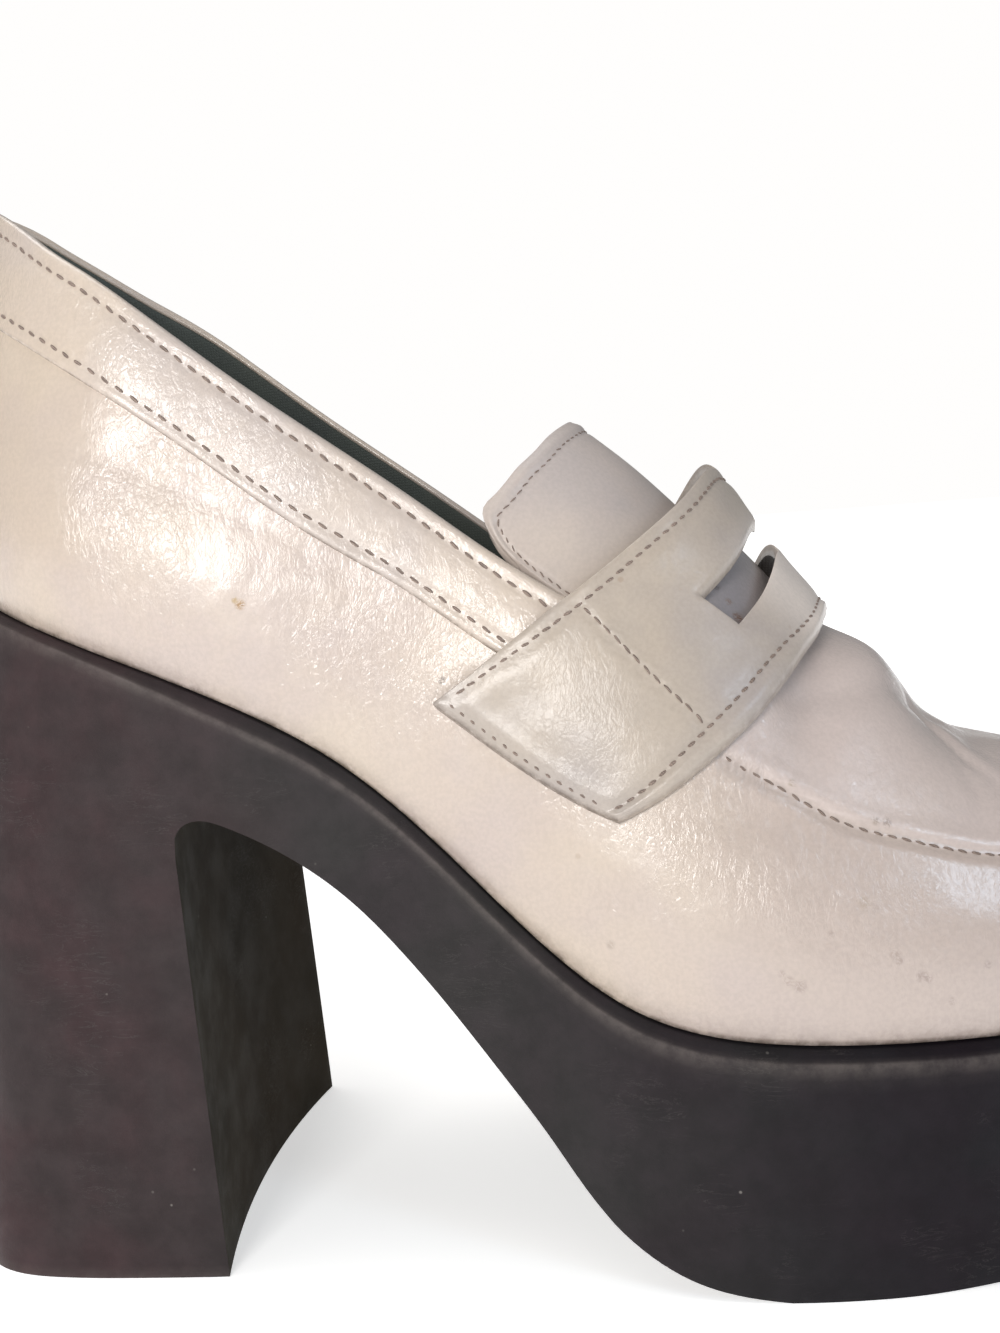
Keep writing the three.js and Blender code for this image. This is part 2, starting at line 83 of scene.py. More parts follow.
class Spline:                                     # natural cubic, held at its ends
    def __init__(self, rows, col=1):
        x = np.array([r[0] for r in rows], float); y = np.array([r[col] for r in rows], float); n = len(x); h = np.diff(x)
        A = np.zeros((n, n)); r = np.zeros(n); A[0, 0] = A[-1, -1] = 1
        for i in range(1, n - 1):
            A[i, i - 1], A[i, i], A[i, i + 1] = h[i - 1], 2 * (h[i - 1] + h[i]), h[i]
            r[i] = 6 * ((y[i + 1] - y[i]) / h[i] - (y[i] - y[i - 1]) / h[i - 1])
        self.x, self.y, self.m = x, y, np.linalg.solve(A, r)

    def __call__(self, t):
        x, y, m = self.x, self.y, self.m
        t = np.clip(np.asarray(t, float), x[0], x[-1]); i = np.clip(np.searchsorted(x, t, side="right") - 1, 0, len(x) - 2)
        h = x[i + 1] - x[i]; a = (x[i + 1] - t) / h; b = 1 - a
        return a * y[i] + b * y[i + 1] + ((a ** 3 - a) * m[i] + (b ** 3 - b) * m[i + 1]) * h * h / 6


def table(rows):                                  # straight lines between rows
    xs = [r[0] for r in rows]; ys = [r[1] for r in rows]
    return lambda t: np.interp(t, xs, ys)


lat_w, med_w, centre_y, feather_z, ridge_z, crown_n, side_n, bulge_mm = [Spline(LAST, c) for c in range(1, 9)]
back_shift, top_z, throat_v = Spline(BACK), Spline(TOPLINE), Spline(THROAT)
flare_mm, shoulder_mm, apron_side, facing_v = table(FLARE), Spline(SHOULDER), Spline(APRON), Spline(FACING)
_chord = np.concatenate([[0], np.cumsum(np.hypot(np.diff([r[0] for r in ARCH]), np.diff([r[1] for r in ARCH])))])
_at = np.linspace(0, _chord[-1], 900)
_ax, _az = [Spline([(c, r[k]) for c, r in zip(_chord, ARCH)])(_at) for k in (0, 1)]
# over the toe the apron seam is given the other way round, x for each v, level where it crosses the ridge
_toe_half = [(v, x) for x, v in APRON if x >= 192]
toe_x = Spline(_toe_half + [(2 - v, x) for v, x in _toe_half[-2::-1]])
_toe_v = np.linspace(.445, 1, 400); _toe_at = np.maximum.accumulate(toe_x(_toe_v))


def arch_z(x): return np.interp(x, np.maximum.accumulate(_ax), _az)
def apron_v(x): return np.where(np.asarray(x) < 203, apron_side(x), np.interp(x, _toe_at, _toe_v))


def seam_line(x0):
    """Points x, v all along the apron seam from x0 to the ridge."""
    x = np.linspace(x0, 203, int((203 - x0) * 3)); v = np.linspace(float(apron_v(203.2)), 1, 200)
    return np.concatenate([x, toe_x(v)]), np.concatenate([apron_v(x), v])


strap_at = [Spline([(i, r[c]) for i, r in enumerate(STRAP)]) for c in range(7)]
tongue_rear, tongue_front = Spline([(r[0], r[1]) for r in TONGUE]), Spline([(r[0], r[2]) for r in TONGUE])


def cap(u, n):
    return np.maximum(0, 1 - np.clip(u, 0, 1) ** n) ** (1 / n)


def smooth(a, b, t):
    t = np.clip((t - a) / (b - a), 0, 1)
    return t * t * (3 - 2 * t)


def bump(t, width):
    return np.exp(-(t / width) ** 2)


def heel_cap(x, off, up, square=0.0):
    f = np.clip(up / COLLAR_H, 0, 1); start = HEEL_CAP_X + (COLLAR_CAP_X - HEEL_CAP_X) * f
    return cap((start - x) / (start - HEEL_X + off), HEEL_CAP_N + (COLLAR_CAP_N - HEEL_CAP_N) * f + square)


ARCS = 96
_T = np.linspace(0, np.pi / 2, ARCS + 1)


def foot(x, side, v, off=0.0):
    """Points of the last surface, one for each entry: x along, side -1 or 1, v from feather to ridge, off outward."""
    x, side, v, off = [a.ravel() for a in np.broadcast_arrays(*[np.asarray(q, float) for q in (x, side, v, off)])]
    out = np.empty((len(x), 3))
    for k in range(0, len(x), 3000):
        X, S, V, M = x[k:k + 3000], side[k:k + 3000], v[k:k + 3000], off[k:k + 3000]
        s = HEEL_X - M + (X - HEEL_X) * (TOE_X - HEEL_X + 2 * M) / (TOE_X - HEEL_X)
        w = np.where(S < 0, lat_w(s), med_w(s)) + M
        w = w * np.where(s > TOE_CAP_X, cap((s - TOE_CAP_X) / (TOE_X + M - TOE_CAP_X), TOE_CAP_N), 1)
        zf = feather_z(s); slope = (ridge_z(s + 1) - ridge_z(s - 1)) / 2
        h = ridge_z(s) - zf + M * np.hypot(1, slope)
        h = h * np.where(s > TOE_TOP_X, cap((s - TOE_TOP_X) / (TOE_X + M - TOE_TOP_X), TOE_TOP_N), 1)
        zr = h[:, None] * np.sin(_T)[None] ** (2 / side_n(s))[:, None]
        wz = w[:, None] * heel_cap(s[:, None], M[:, None], zr)
        y = wz * np.cos(_T)[None] ** (2 / crown_n(s))[:, None]; y[:, -1] = 0
        y = y + bulge_mm(s)[:, None] * wz / 30 * np.sin(np.pi * np.minimum(zr / 34, 1))
        P = np.stack([s[:, None] + back_shift(zr) * (np.maximum(0, 1 - (X - HEEL_X) / LEAN_REACH) ** 2)[:, None],
                      centre_y(s)[:, None] + S[:, None] * y, zf[:, None] + zr], 2)
        run = np.concatenate([np.zeros((len(X), 1)), np.cumsum(np.linalg.norm(np.diff(P, axis=1), axis=2), 1)], 1)
        t = np.clip(V, 0, 1) * run[:, -1]
        i = np.clip((run < t[:, None]).sum(1) - 1, 0, ARCS - 1); n = np.arange(len(X))
        d = run[n, i + 1] - run[n, i]; f = np.where(d > 1e-9, (t - run[n, i]) / np.maximum(d, 1e-9), 0)[:, None]
        out[k:k + 3000] = P[n, i] * (1 - f) + P[n, i + 1] * f
    return out


def arc_len(x, side):
    """Length of the section from feather to ridge."""
    v = np.linspace(0, 1, 41); P = foot(np.repeat(x, 41), side, np.tile(v, len(x))).reshape(len(x), 41, 3)
    return np.linalg.norm(np.diff(P, axis=1), axis=2).sum(1)


def normal(x, side, v, off=0.0):
    x, side, v, off = [a.ravel() for a in np.broadcast_arrays(*[np.asarray(q, float) for q in (x, side, v, off)])]
    xa, xb = np.clip(x - .4, HEEL_X + .02, TOE_X - .02), np.clip(x + .4, HEEL_X + .02, TOE_X - .02)
    va, vb = np.clip(v - .006, 0, 1), np.clip(v + .006, 0, 1)
    n = np.cross(foot(xb, side, v, off) - foot(xa, side, v, off), foot(x, side, vb, off) - foot(x, side, va, off)) * -side[:, None]
    at_ridge = v > .9999
    n[at_ridge, 1] = 0
    return n / np.maximum(np.linalg.norm(n, axis=1), 1e-9)[:, None]


def topline_v(x, side, off=0.0):
    x = np.asarray(x, float); lo, hi = np.full(len(x), .2), np.ones(len(x))
    for _ in range(24):
        m = (lo + hi) / 2; P = foot(x, side, m, off); up = P[:, 2] > top_z(P[:, 0]); hi = np.where(up, m, hi); lo = np.where(up, lo, m)
    return (lo + hi) / 2


_tx = np.linspace(HEEL_X, 114, 70)
_tv = {s: topline_v(_tx, s) for s in (-1, 1)}


_tl = {s: arc_len(_tx, s) for s in (-1, 1)}
_tv[-1] = _tv[-1] - 1.2 * bump(_tx - 26, 9) / _tl[-1]
_tv[1] = _tv[1] - 2.0 * bump(_tx - 24, 12) * smooth(HEEL_X, 14, _tx) / _tl[1]


def top_v(x, side):
    return np.where(np.asarray(side) < 0, np.interp(x, _tx, _tv[-1]), np.interp(x, _tx, _tv[1]))


_lv = {}


def level_v(x, side, off):
    """What to add to v at this offset so that the topline keeps its height."""
    k = (side, round(off, 2))
    if k not in _lv: _lv[k] = topline_v(_tx[::5], side, off) - topline_v(_tx[::5], side, 0)
    return np.interp(x, _tx[::5], _lv[k])


def open_v(x, side):
    v0 = top_v(114.0, side); t0 = THROAT[0][1]
    return np.where(x >= 144.5 - 1e-6, 1.0, np.where(x <= 114, top_v(x, side), v0 + (throat_v(x) - t0) / (1 - t0) * (1 - v0)))


# ------------------------------------------------------------------ mesh builders
def ease_out(a, b, n): return a + (b - a) * (1 - np.cos(np.linspace(0, 1, n + 1) * np.pi / 2))
def ease_in(a, b, n): return a + (b - a) * np.sin(np.linspace(0, 1, n + 1) * np.pi / 2)
def runs(*r): return np.concatenate([r[0]] + [q[1:] for q in r[1:]])


class Sheet:                                      # cells with two faces, closed by walls round the free edges
    def __init__(self): self.map, self.rows, self.cells = {}, [], []

    def node(self, key, row):
        if key not in self.map: self.map[key] = len(self.rows); self.rows.append(row)
        return self.map[key]

    def cell(self, q, flip):
        if flip: q = q[::-1]
        q = [a for i, a in enumerate(q) if a != q[i - 1]]
        if len(q) > 2 and len(set(q)) == len(q): self.cells.append(q)

    def faces(self):
        n = len(self.rows); out = [list(q) for q in self.cells] + [[a + n for a in q[::-1]] for q in self.cells]
        edges = {}
        for q in self.cells:
            for i, a in enumerate(q): edges[(a, q[(i + 1) % len(q)])] = 1
        for a, b in edges:
            if (b, a) not in edges: out.append([b, a, a + n, b + n])
        return out


def make(name, points, faces, mats, face_mats=None, attrs=None, smooth_shade=True, sharp=None):
    me = bpy.data.meshes.new(name)
    P = (np.asarray(points, float) - [FRAME_X, 0, 0]) / 1000
    me.from_pydata(P.tolist(), [], [list(map(int, f)) for f in faces])
    for k, vals in (attrs or {}).items():
        a = me.attributes.new(k, "FLOAT", "POINT"); a.data.foreach_set("value", np.asarray(vals, np.float32))
    bm = bmesh.new(); bm.from_mesh(me); bmesh.ops.recalc_face_normals(bm, faces=bm.faces); bm.to_mesh(me); bm.free()
    for m in mats: me.materials.append(m)
    if face_mats is not None: me.polygons.foreach_set("material_index", np.asarray(face_mats, np.int32))
    me.polygons.foreach_set("use_smooth", np.ones(len(me.polygons), bool) if smooth_shade else np.zeros(len(me.polygons), bool))
    me.update()
    if sharp is not None: me.set_sharp_from_angle(angle=math.radians(sharp))
    ob = bpy.data.objects.new(name, me); bpy.context.scene.collection.objects.link(ob)
    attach(ob, "root")
    return ob


def bake_mods(ob):
    dg = bpy.context.evaluated_depsgraph_get(); dg.update()
    me = bpy.data.meshes.new_from_object(ob.evaluated_get(dg), preserve_all_data_layers=True, depsgraph=dg)
    old = ob.data; ob.modifiers.clear(); ob.data = me; me.name = ob.name; bpy.data.meshes.remove(old)


def bevel(ob, width, segments=3, angle=40):
    m = ob.modifiers.new("edge", "BEVEL"); m.width = width / 1000; m.segments = segments; m.limit_method = "ANGLE"; m.angle_limit = math.radians(angle)
    m.harden_normals = False; m.use_clamp_overlap = True
    bake_mods(ob)
    ob.data.polygons.foreach_set("use_smooth", np.ones(len(ob.data.polygons), bool))


def noise3(P, scale, seed=0):
    """Smooth value noise, about -1..1, at points in millimetres; scale is the cell in mm."""
    q = np.asarray(P) / scale + seed * 17.31; i = np.floor(q).astype(np.int64); f = q - i; f = f * f * (3 - 2 * f)
    def h(a, b, c):
        n = (a * 374761393 + b * 668265263 + c * 2147483647 + seed * 1013904223) & 0xffffffff
        n = ((n ^ (n >> 13)) * 1274126177) & 0xffffffff
        return ((n ^ (n >> 16)) & 0xffff) / 32767.5 - 1
    r = 0
    for dx in (0, 1):
        for dy in (0, 1):
            for dz in (0, 1):
                r = r + h(i[..., 0] + dx, i[..., 1] + dy, i[..., 2] + dz) * (f[..., 0] if dx else 1 - f[..., 0]) * (f[..., 1] if dy else 1 - f[..., 1]) * (f[..., 2] if dz else 1 - f[..., 2])
    return r


# ------------------------------------------------------------------ materials
def new_mat(name):
    m = bpy.data.materials.new(name); m.use_nodes = True; nt = m.node_tree; nt.nodes.clear()
    out = nt.nodes.new("ShaderNodeOutputMaterial"); b = nt.nodes.new("ShaderNodeBsdfPrincipled"); nt.links.new(b.outputs[0], out.inputs[0])
    return m, nt, b


def lin(r, g, b): return tuple((c / 12.92 if c <= .04045 else ((c + .055) / 1.055) ** 2.4) for c in (r / 255, g / 255, b / 255)) + (1,)


class N:                                          # small node writer
    def __init__(self, nt): self.nt = nt; self.co = nt.nodes.new("ShaderNodeTexCoord").outputs["Object"]
    def link(self, a, b): self.nt.links.new(a, b)
    def val(self, sock, v):
        if isinstance(v, bpy.types.NodeSocket): self.link(v, sock)
        else: sock.default_value = v
    def noise(self, scale, detail=3, rough=.55, dist=0, vec=None):
        n = self.nt.nodes.new("ShaderNodeTexNoise"); n.inputs["Scale"].default_value = scale; n.inputs["Detail"].default_value = detail
        n.inputs["Roughness"].default_value = rough; n.inputs["Distortion"].default_value = dist; self.link(vec or self.co, n.inputs["Vector"]); return n.outputs[0]
    def voronoi(self, scale, feature="F1", rand=1, vec=None):
        n = self.nt.nodes.new("ShaderNodeTexVoronoi"); n.feature = feature; n.inputs["Scale"].default_value = scale; n.inputs["Randomness"].default_value = rand
        self.link(vec or self.co, n.inputs["Vector"]); return n.outputs[0]
    def math(self, op, a, b=None, c=None, clamp=False):
        n = self.nt.nodes.new("ShaderNodeMath"); n.operation = op; n.use_clamp = clamp; self.val(n.inputs[0], a)
        if b is not None: self.val(n.inputs[1], b)
        if c is not None: self.val(n.inputs[2], c)
        return n.outputs[0]
    def ramp(self, x, a, b, lo=0., hi=1.):
        n = self.nt.nodes.new("ShaderNodeMapRange"); n.interpolation_type = "SMOOTHSTEP"; self.link(x, n.inputs["Value"])
        for k, v in (("From Min", a), ("From Max", b), ("To Min", lo), ("To Max", hi)): n.inputs[k].default_value = v
        return n.outputs[0]
    def mix(self, f, a, b, kind="MIX"):
        n = self.nt.nodes.new("ShaderNodeMix"); n.data_type = "RGBA"; n.blend_type = kind
        self.val(n.inputs[0], f); self.val(n.inputs[6], a); self.val(n.inputs[7], b); return n.outputs[2]
    def attr(self, name):
        n = self.nt.nodes.new("ShaderNodeAttribute"); n.attribute_name = name; n.attribute_type = "GEOMETRY"; return n.outputs["Fac"]
    def scaled(self, x, y, z):
        n = self.nt.nodes.new("ShaderNodeMapping"); n.inputs["Scale"].default_value = (x, y, z); self.link(self.co, n.inputs["Vector"]); return n.outputs[0]
    def bump(self, h, strength, dist, normal=None):
        n = self.nt.nodes.new("ShaderNodeBump"); n.inputs["Strength"].default_value = strength; n.inputs["Distance"].default_value = dist
        self.link(h, n.inputs["Height"])
        if normal is not None: self.link(normal, n.inputs["Normal"])
        return n.outputs[0]


def leather(name, base, warm, cool, dirt_attr=True, plug_tone_and_painted_crest_light=None, front=(1, 1, 1, 1), raw_edge_and_shade_under_strap=None, gloss=.36, crinkle=1.0, coat=1.0, marks=()):
    m, nt, b = new_mat(name); g = N(nt)
    # colour: cream with large soft warm and mauve clouds, painted shade and light from the masks, tiny specks and
    # rubbed dirt at the edges
    big = g.ramp(g.noise(26, 3, .5), .38, .64)
    col = g.mix(big, warm, cool)
    col = g.mix(g.ramp(g.noise(90, 4, .6), .35, .7, 0, .55), col, base)
    # the plug colour is the plug panel's own tone on the upper and painted light on the strap's up-facing crest; the
    # front colour is painted shade on the side wall toward the front
    if plug_tone_and_painted_crest_light: col = g.mix(g.attr("plug_tone_and_painted_crest_light"), g.mix(g.attr("front"), col, front), plug_tone_and_painted_crest_light)
    # painted shade: the plug darkened in the slot under the strap
    if raw_edge_and_shade_under_strap: col = g.mix(g.attr("raw_edge_and_shade_under_strap"), col, raw_edge_and_shade_under_strap)
    fine = g.ramp(g.noise(1500, 2, .5), .3, .7, .96, 1.03)
    col = g.mix(1.0, col, fine, "MULTIPLY")
    speck = g.math("MULTIPLY", g.ramp(g.voronoi(150), .10, .04), g.ramp(g.noise(60, 2), .60, .70))
    col = g.mix(g.math("MULTIPLY", speck, .35), col, lin(150, 126, 104))
    if dirt_attr:
        d = g.attr("dirt"); grime = g.math("MULTIPLY", d, g.ramp(g.noise(420, 4, .7), .30, .62))
        col = g.mix(g.math("MULTIPLY", grime, .8, clamp=True), col, lin(86, 72, 62))
    ragged = g.ramp(g.noise(900, 3, .7, 1.5), .38, .58) if marks else None
    for p, radius, weight, tint in marks:                       # scuffs and stains where the worn shoe has them
        d = nt.nodes.new("ShaderNodeVectorMath"); d.operation = "DISTANCE"; g.link(g.co, d.inputs[0]); d.inputs[1].default_value = p
        spot = g.math("MULTIPLY", g.ramp(d.outputs["Value"], radius / 1000, radius / 3500), ragged)
        col = g.mix(g.math("MULTIPLY", spot, weight, clamp=True), col, tint)
    nt.links.new(col, b.inputs["Base Color"])
    # the clear coat carries the crinkle (short irregular creases), the body below it is almost smooth
    warp = g.noise(430, 3, .6, 1.1, g.scaled(1.5, 1.5, .66))
    vein = g.math("ABSOLUTE", g.math("SUBTRACT", warp, .5)); vein = g.ramp(vein, 0, .13)
    cells = g.ramp(g.voronoi(620, "DISTANCE_TO_EDGE", 1, g.scaled(1.2, 1.2, .8)), 0, .16)
    grain = g.noise(2600, 2, .5)
    h = g.math("ADD", g.math("MULTIPLY", vein, .60), g.math("ADD", g.math("MULTIPLY", cells, .30), g.math("MULTIPLY", grain, .08)))
    amount = g.ramp(g.noise(38, 3, .55), .36, .66, .18, 1.0)
    h = g.math("MULTIPLY", h, amount)
    slow = g.noise(120, 2, .5)
    n1 = g.bump(slow, .28 * crinkle, .0012)
    nt.links.new(n1, b.inputs["Normal"]); nt.links.new(g.bump(h, .27 * crinkle, .00050, n1), b.inputs["Coat Normal"])
    r = g.math("ADD", g.ramp(g.noise(70, 3, .6), .3, .7, gloss, gloss + .13), g.math("MULTIPLY", grain, .06))
    if dirt_attr: r = g.math("ADD", r, g.math("MULTIPLY", g.attr("dirt"), .25))
    nt.links.new(r, b.inputs["Roughness"])
    b.inputs["Coat Weight"].default_value = coat; b.inputs["Coat Roughness"].default_value = .23; b.inputs["Coat IOR"].default_value = 1.6; b.inputs["Specular IOR Level"].default_value = .40
    return m


def rubber(name):
    m, nt, b = new_mat(name); g = N(nt)
    worn = lin(84, 80, 79); sep = nt.nodes.new("ShaderNodeSeparateXYZ"); g.link(g.co, sep.inputs[0])
    # painted light and shade: the moulding is lighter at the heel, where the light falls, and darker toward the toe
    heel = g.mix(g.ramp(g.noise(34, 4, .6), .35, .68), lin(55, 47, 48), lin(63, 47, 49))
    waist = g.mix(g.ramp(g.noise(40, 4, .6), .35, .68), lin(51, 49, 49), lin(49, 44, 46))
    toe = g.mix(g.ramp(g.noise(34, 4, .6), .35, .68), lin(25, 24, 28), lin(27, 21, 27))
    col = g.mix(g.ramp(sep.outputs[0], -.085, -.045), heel, waist); col = g.mix(g.ramp(sep.outputs[0], -.03, .055), col, toe)
    col = g.mix(1.0, col, g.ramp(g.noise(160, 4, .65), .25, .80, .78, 1.16), "MULTIPLY")
    # painted shade: the breast and the underside of the arch, in the hollow, are darkened and lose their reflection
    painted_hollow_shade = g.ramp(g.attr("hollow"), .25, .75)
    col = g.mix(g.math("MULTIPLY", painted_hollow_shade, .92), col, g.mix(g.ramp(g.noise(30, 3, .5), .35, .65), lin(42, 38, 30), lin(48, 42, 32)))
    scr = g.noise(240, 5, .7, 1.2, g.scaled(.35, 1, 1.9)); line = g.ramp(g.math("ABSOLUTE", g.math("SUBTRACT", scr, .5)), .012, .002)
    line = g.math("MULTIPLY", line, g.ramp(g.noise(50, 3), .54, .66))
    col = g.mix(g.math("MULTIPLY", line, .35), col, worn)
    # lighter where the sole is rubbed: the floor edge is worn, and the shoulder's outer corner has a painted highlight
    # as well
    col = g.mix(g.math("MULTIPLY", g.attr("edge_wear_and_highlight"), g.ramp(g.noise(300, 4, .7), .25, .7, .35, 1.0)), col, lin(112, 104, 100))
    dust = g.math("MULTIPLY", g.ramp(g.voronoi(260), .09, .03), g.ramp(g.noise(90), .56, .66)); col = g.mix(g.math("MULTIPLY", dust, .5), col, lin(150, 145, 140))
    nt.links.new(col, b.inputs["Base Color"])
    h = g.math("ADD", g.math("MULTIPLY", g.noise(3200, 3, .6), .5), g.math("MULTIPLY", g.noise(650, 3, .6), .35))
    h = g.math("SUBTRACT", h, g.math("MULTIPLY", line, .35))
    n1 = g.bump(g.noise(60, 2), .12, .0012)
    nt.links.new(g.bump(h, .30, .00028, n1), b.inputs["Normal"])
    nt.links.new(g.ramp(g.noise(110, 4, .6), .3, .7, .46, .62), b.inputs["Roughness"])
    g.link(g.ramp(painted_hollow_shade, 0, 1, .13, .02), b.inputs["Specular IOR Level"])
    return m


def cloth(name, c1, c2, pitch=.55, fuzz=.25):
    m, nt, b = new_mat(name); g = N(nt)
    w = nt.nodes.new("ShaderNodeTexWave"); w.bands_direction = "X"; w.inputs["Scale"].default_value = 1000 / pitch / 6.2832 * 2; w.inputs["Distortion"].default_value = 1.2; w.inputs["Detail"].default_value = 1
    w2 = nt.nodes.new("ShaderNodeTexWave"); w2.bands_direction = "Z"; w2.inputs["Scale"].default_value = 1000 / pitch / 6.2832 * 2; w2.inputs["Distortion"].default_value = 1.2; w2.inputs["Detail"].default_value = 1
    g.link(g.co, w.inputs["Vector"]); g.link(g.co, w2.inputs["Vector"])
    wv = g.math("MULTIPLY", w.outputs["Fac"], w2.outputs["Fac"])
    col = g.mix(g.ramp(g.noise(80, 4, .6), .3, .7), c1, c2)
    col = g.mix(g.math("MULTIPLY", wv, .35), col, (c1[0] * 1.7, c1[1] * 1.7, c1[2] * 1.7, 1))
    nt.links.new(col, b.inputs["Base Color"])
    nt.links.new(g.bump(g.math("ADD", wv, g.math("MULTIPLY", g.noise(2200, 3), .5)), .35, .00025), b.inputs["Normal"])
    nt.links.new(g.ramp(g.noise(140), .3, .7, .74, .92), b.inputs["Roughness"])
    b.inputs["Sheen Weight"].default_value = fuzz; b.inputs["Sheen Roughness"].default_value = .5
    return m


def thread(name, c1, c2):
    m, nt, b = new_mat(name); g = N(nt)
    col = g.mix(g.ramp(g.noise(500, 3), .35, .65), c1, c2)
    tw = nt.nodes.new("ShaderNodeTexWave"); tw.inputs["Scale"].default_value = 900; tw.inputs["Distortion"].default_value = 2.0; tw.bands_direction = "DIAGONAL"; g.link(g.co, tw.inputs["Vector"])
    col = g.mix(g.math("MULTIPLY", tw.outputs["Fac"], .35), col, (c1[0] * 2.2, c1[1] * 2.2, c1[2] * 2.2, 1))
    nt.links.new(col, b.inputs["Base Color"]); nt.links.new(g.bump(tw.outputs["Fac"], .4, .0001), b.inputs["Normal"])
    nt.links.new(g.ramp(g.noise(300), .3, .7, .5, .68), b.inputs["Roughness"])
    return m


CREAM, CREAM_WARM, CREAM_COOL = lin(193, 177, 163), lin(196, 181, 165), lin(186, 171, 163)
# station x, share v, radius mm, weight, colour: yellow speck on the quarter, scuffs low on the vamp, stains in the slot, fluff at the apron seam
MARKS = [(61.5, .176, 1.2, .95, (142, 104, 46)), (60.7, .179, .8, .8, (160, 130, 70)), (147.3, .108, 1.5, .40, (116, 96, 84)), (145.6, .114, 1.2, .34, (116, 96, 84)), (144.6, .124, .9, .30, (116, 96, 84)),
         (162.0, .180, 1.2, .34, (128, 108, 94)), (162.6, .168, .9, .38, (118, 98, 88)), (165.9, .141, 1.3, .36, (116, 98, 90)), (166.9, .136, 1.0, .34, (116, 98, 90)), (158.0, .268, 1.6, .25, (140, 120, 84)),
         (159.6, .262, 1.2, .22, (128, 110, 98)), (176.4, .169, 1.0, .34, (118, 102, 96)), (142.3, .722, 1.5, .85, (104, 66, 36)), (141.0, .742, 1.0, .55, (120, 84, 56)), (139.0, .756, 1.2, .60, (78, 68, 62)),
         (161.2, .434, 1.1, .55, (108, 86, 54)), (163.0, .436, 1.2, .50, (92, 74, 60)), (148.6, .455, 1.0, .45, (124, 106, 70)), (152.5, .205, .8, .25, (128, 110, 100)), (170.5, .090, .9, .30, (112, 96, 88)),
         (94.3, .262, 1.2, .55, (92, 76, 66)), (118.5, .085, 1.0, .30, (124, 106, 94)), (93.6, .283, 1.0, .75, (66, 54, 48))]
_marks = [(tuple(((foot(m[0], -1, m[1])[0] - [FRAME_X, 0, 0]) / 1000).tolist()), m[2], m[3], lin(*m[4])) for m in MARKS]
# painted shade on the upper: the front colour darkens the side wall toward the front, and the slot colour darkens the
# plug under the strap
M_UPPER = leather("cream_crinkle_leather", CREAM, CREAM_WARM, CREAM_COOL, plug_tone_and_painted_crest_light=lin(193, 179, 174), front=lin(180, 165, 158), raw_edge_and_shade_under_strap=lin(132, 129, 134), marks=_marks)
M_FACING = leather("cream_facing_leather", lin(195, 181, 169), lin(198, 183, 168), lin(188, 176, 169))
# painted light: the strap's plug colour lightens its up-facing crest
M_STRAP = leather("cream_strap_leather", lin(171, 160, 149), lin(177, 164, 150), lin(162, 153, 149), gloss=.40, crinkle=.5, coat=.55, plug_tone_and_painted_crest_light=lin(216, 205, 197))
M_TONGUE = leather("cream_tongue_leather", lin(188, 175, 167), lin(194, 181, 170), lin(178, 168, 164), gloss=.46, crinkle=.5, coat=.30)
M_SUEDE = cloth("dark_flesh_side", lin(54, 47, 43), lin(66, 58, 53), .5, .15)
M_SOLE = rubber("charcoal_moulded_sole")
M_LINING = cloth("lining_cloth", lin(74, 80, 75), lin(66, 72, 70))
M_INSOLE = cloth("insole_cloth", lin(92, 90, 84), lin(80, 80, 76), .7)
M_THREAD = thread("dark_thread", lin(123, 108, 99), lin(102, 89, 81))


# ------------------------------------------------------------------ relief of the upper, millimetres along the normal
_seam_side = {}
for _s in (-1, 1):
    _sx, _sv = seam_line(112)
    _seam_side[_s] = foot(_sx, _s, _sv)


def seam_distance(P, side, x):
    """Distance to the apron seam; 99 where x is 108 or less."""
    from_s = _seam_side[side]; d = np.full(len(P), 99.0)
    near = (x > 108)
    idx = np.where(near)[0]
    for k in range(0, len(idx), 2000):
        q = idx[k:k + 2000]; D = np.linalg.norm(P[q][:, None] - from_s[None], axis=2); d[q] = D.min(1)
    return d


def folds(x, v):
    """Soft folds of the vamp: roll where the foot bends, the trough ahead of it, the hollow against the strap."""
    u = 1 - v; u = u * u / (u + .06); w = 1 - u                  # level at the ridge, so both halves join without a crease
    top = smooth(.52, .90, v); axis = x + 16 * u                 # folds run forward and down the side
    h = 1.75 * bump(axis - 166.6, 5.0) * top
    h = h - 1.6 * smooth(172, 186, axis) * (1 - smooth(198, 222, x)) * smooth(.55, .92, v)
    h = h - 1.25 * bump(axis - 177.0, 4.2) * smooth(.60, .90, v)
    h = h - .45 * bump(axis - 184.5, 3.4) * smooth(.62, .95, v) + .30 * bump(axis - 193.0, 4.5) * smooth(.62, .97, v)
    h = h - 2.3 * bump(x - 142.5 - 13.5 * w, 4.8) * smooth(.42, .66, v) * (1 - .45 * smooth(.88, 1, v))
    h = h - .80 * bump(x - 156.5 - 84 * (v - .665), 3.8) * smooth(.60, .70, v) * (1 - smooth(.80, .99, v))   # shaded drag fold under the roll
    h = h - .60 * bump(x - 176.8 - 38 * (.786 - v), 1.3) * smooth(.64, .71, v) * (1 - smooth(.82, .95, v))  # drawn crease
    h = h + .35 * bump(x - 180.6 - 38 * (.786 - v), 2.2) * smooth(.62, .70, v) * (1 - smooth(.82, .95, v))
    h = h - .55 * bump(x - 141.0 - 18 * (v - .5), 4.0) * bump(v - .55, .10)
    h = h - .30 * bump(axis - 181.0 + 5 * np.sin(v * 9), 1.5) * smooth(.48, .62, v) * (1 - smooth(.70, .80, v))
    return h


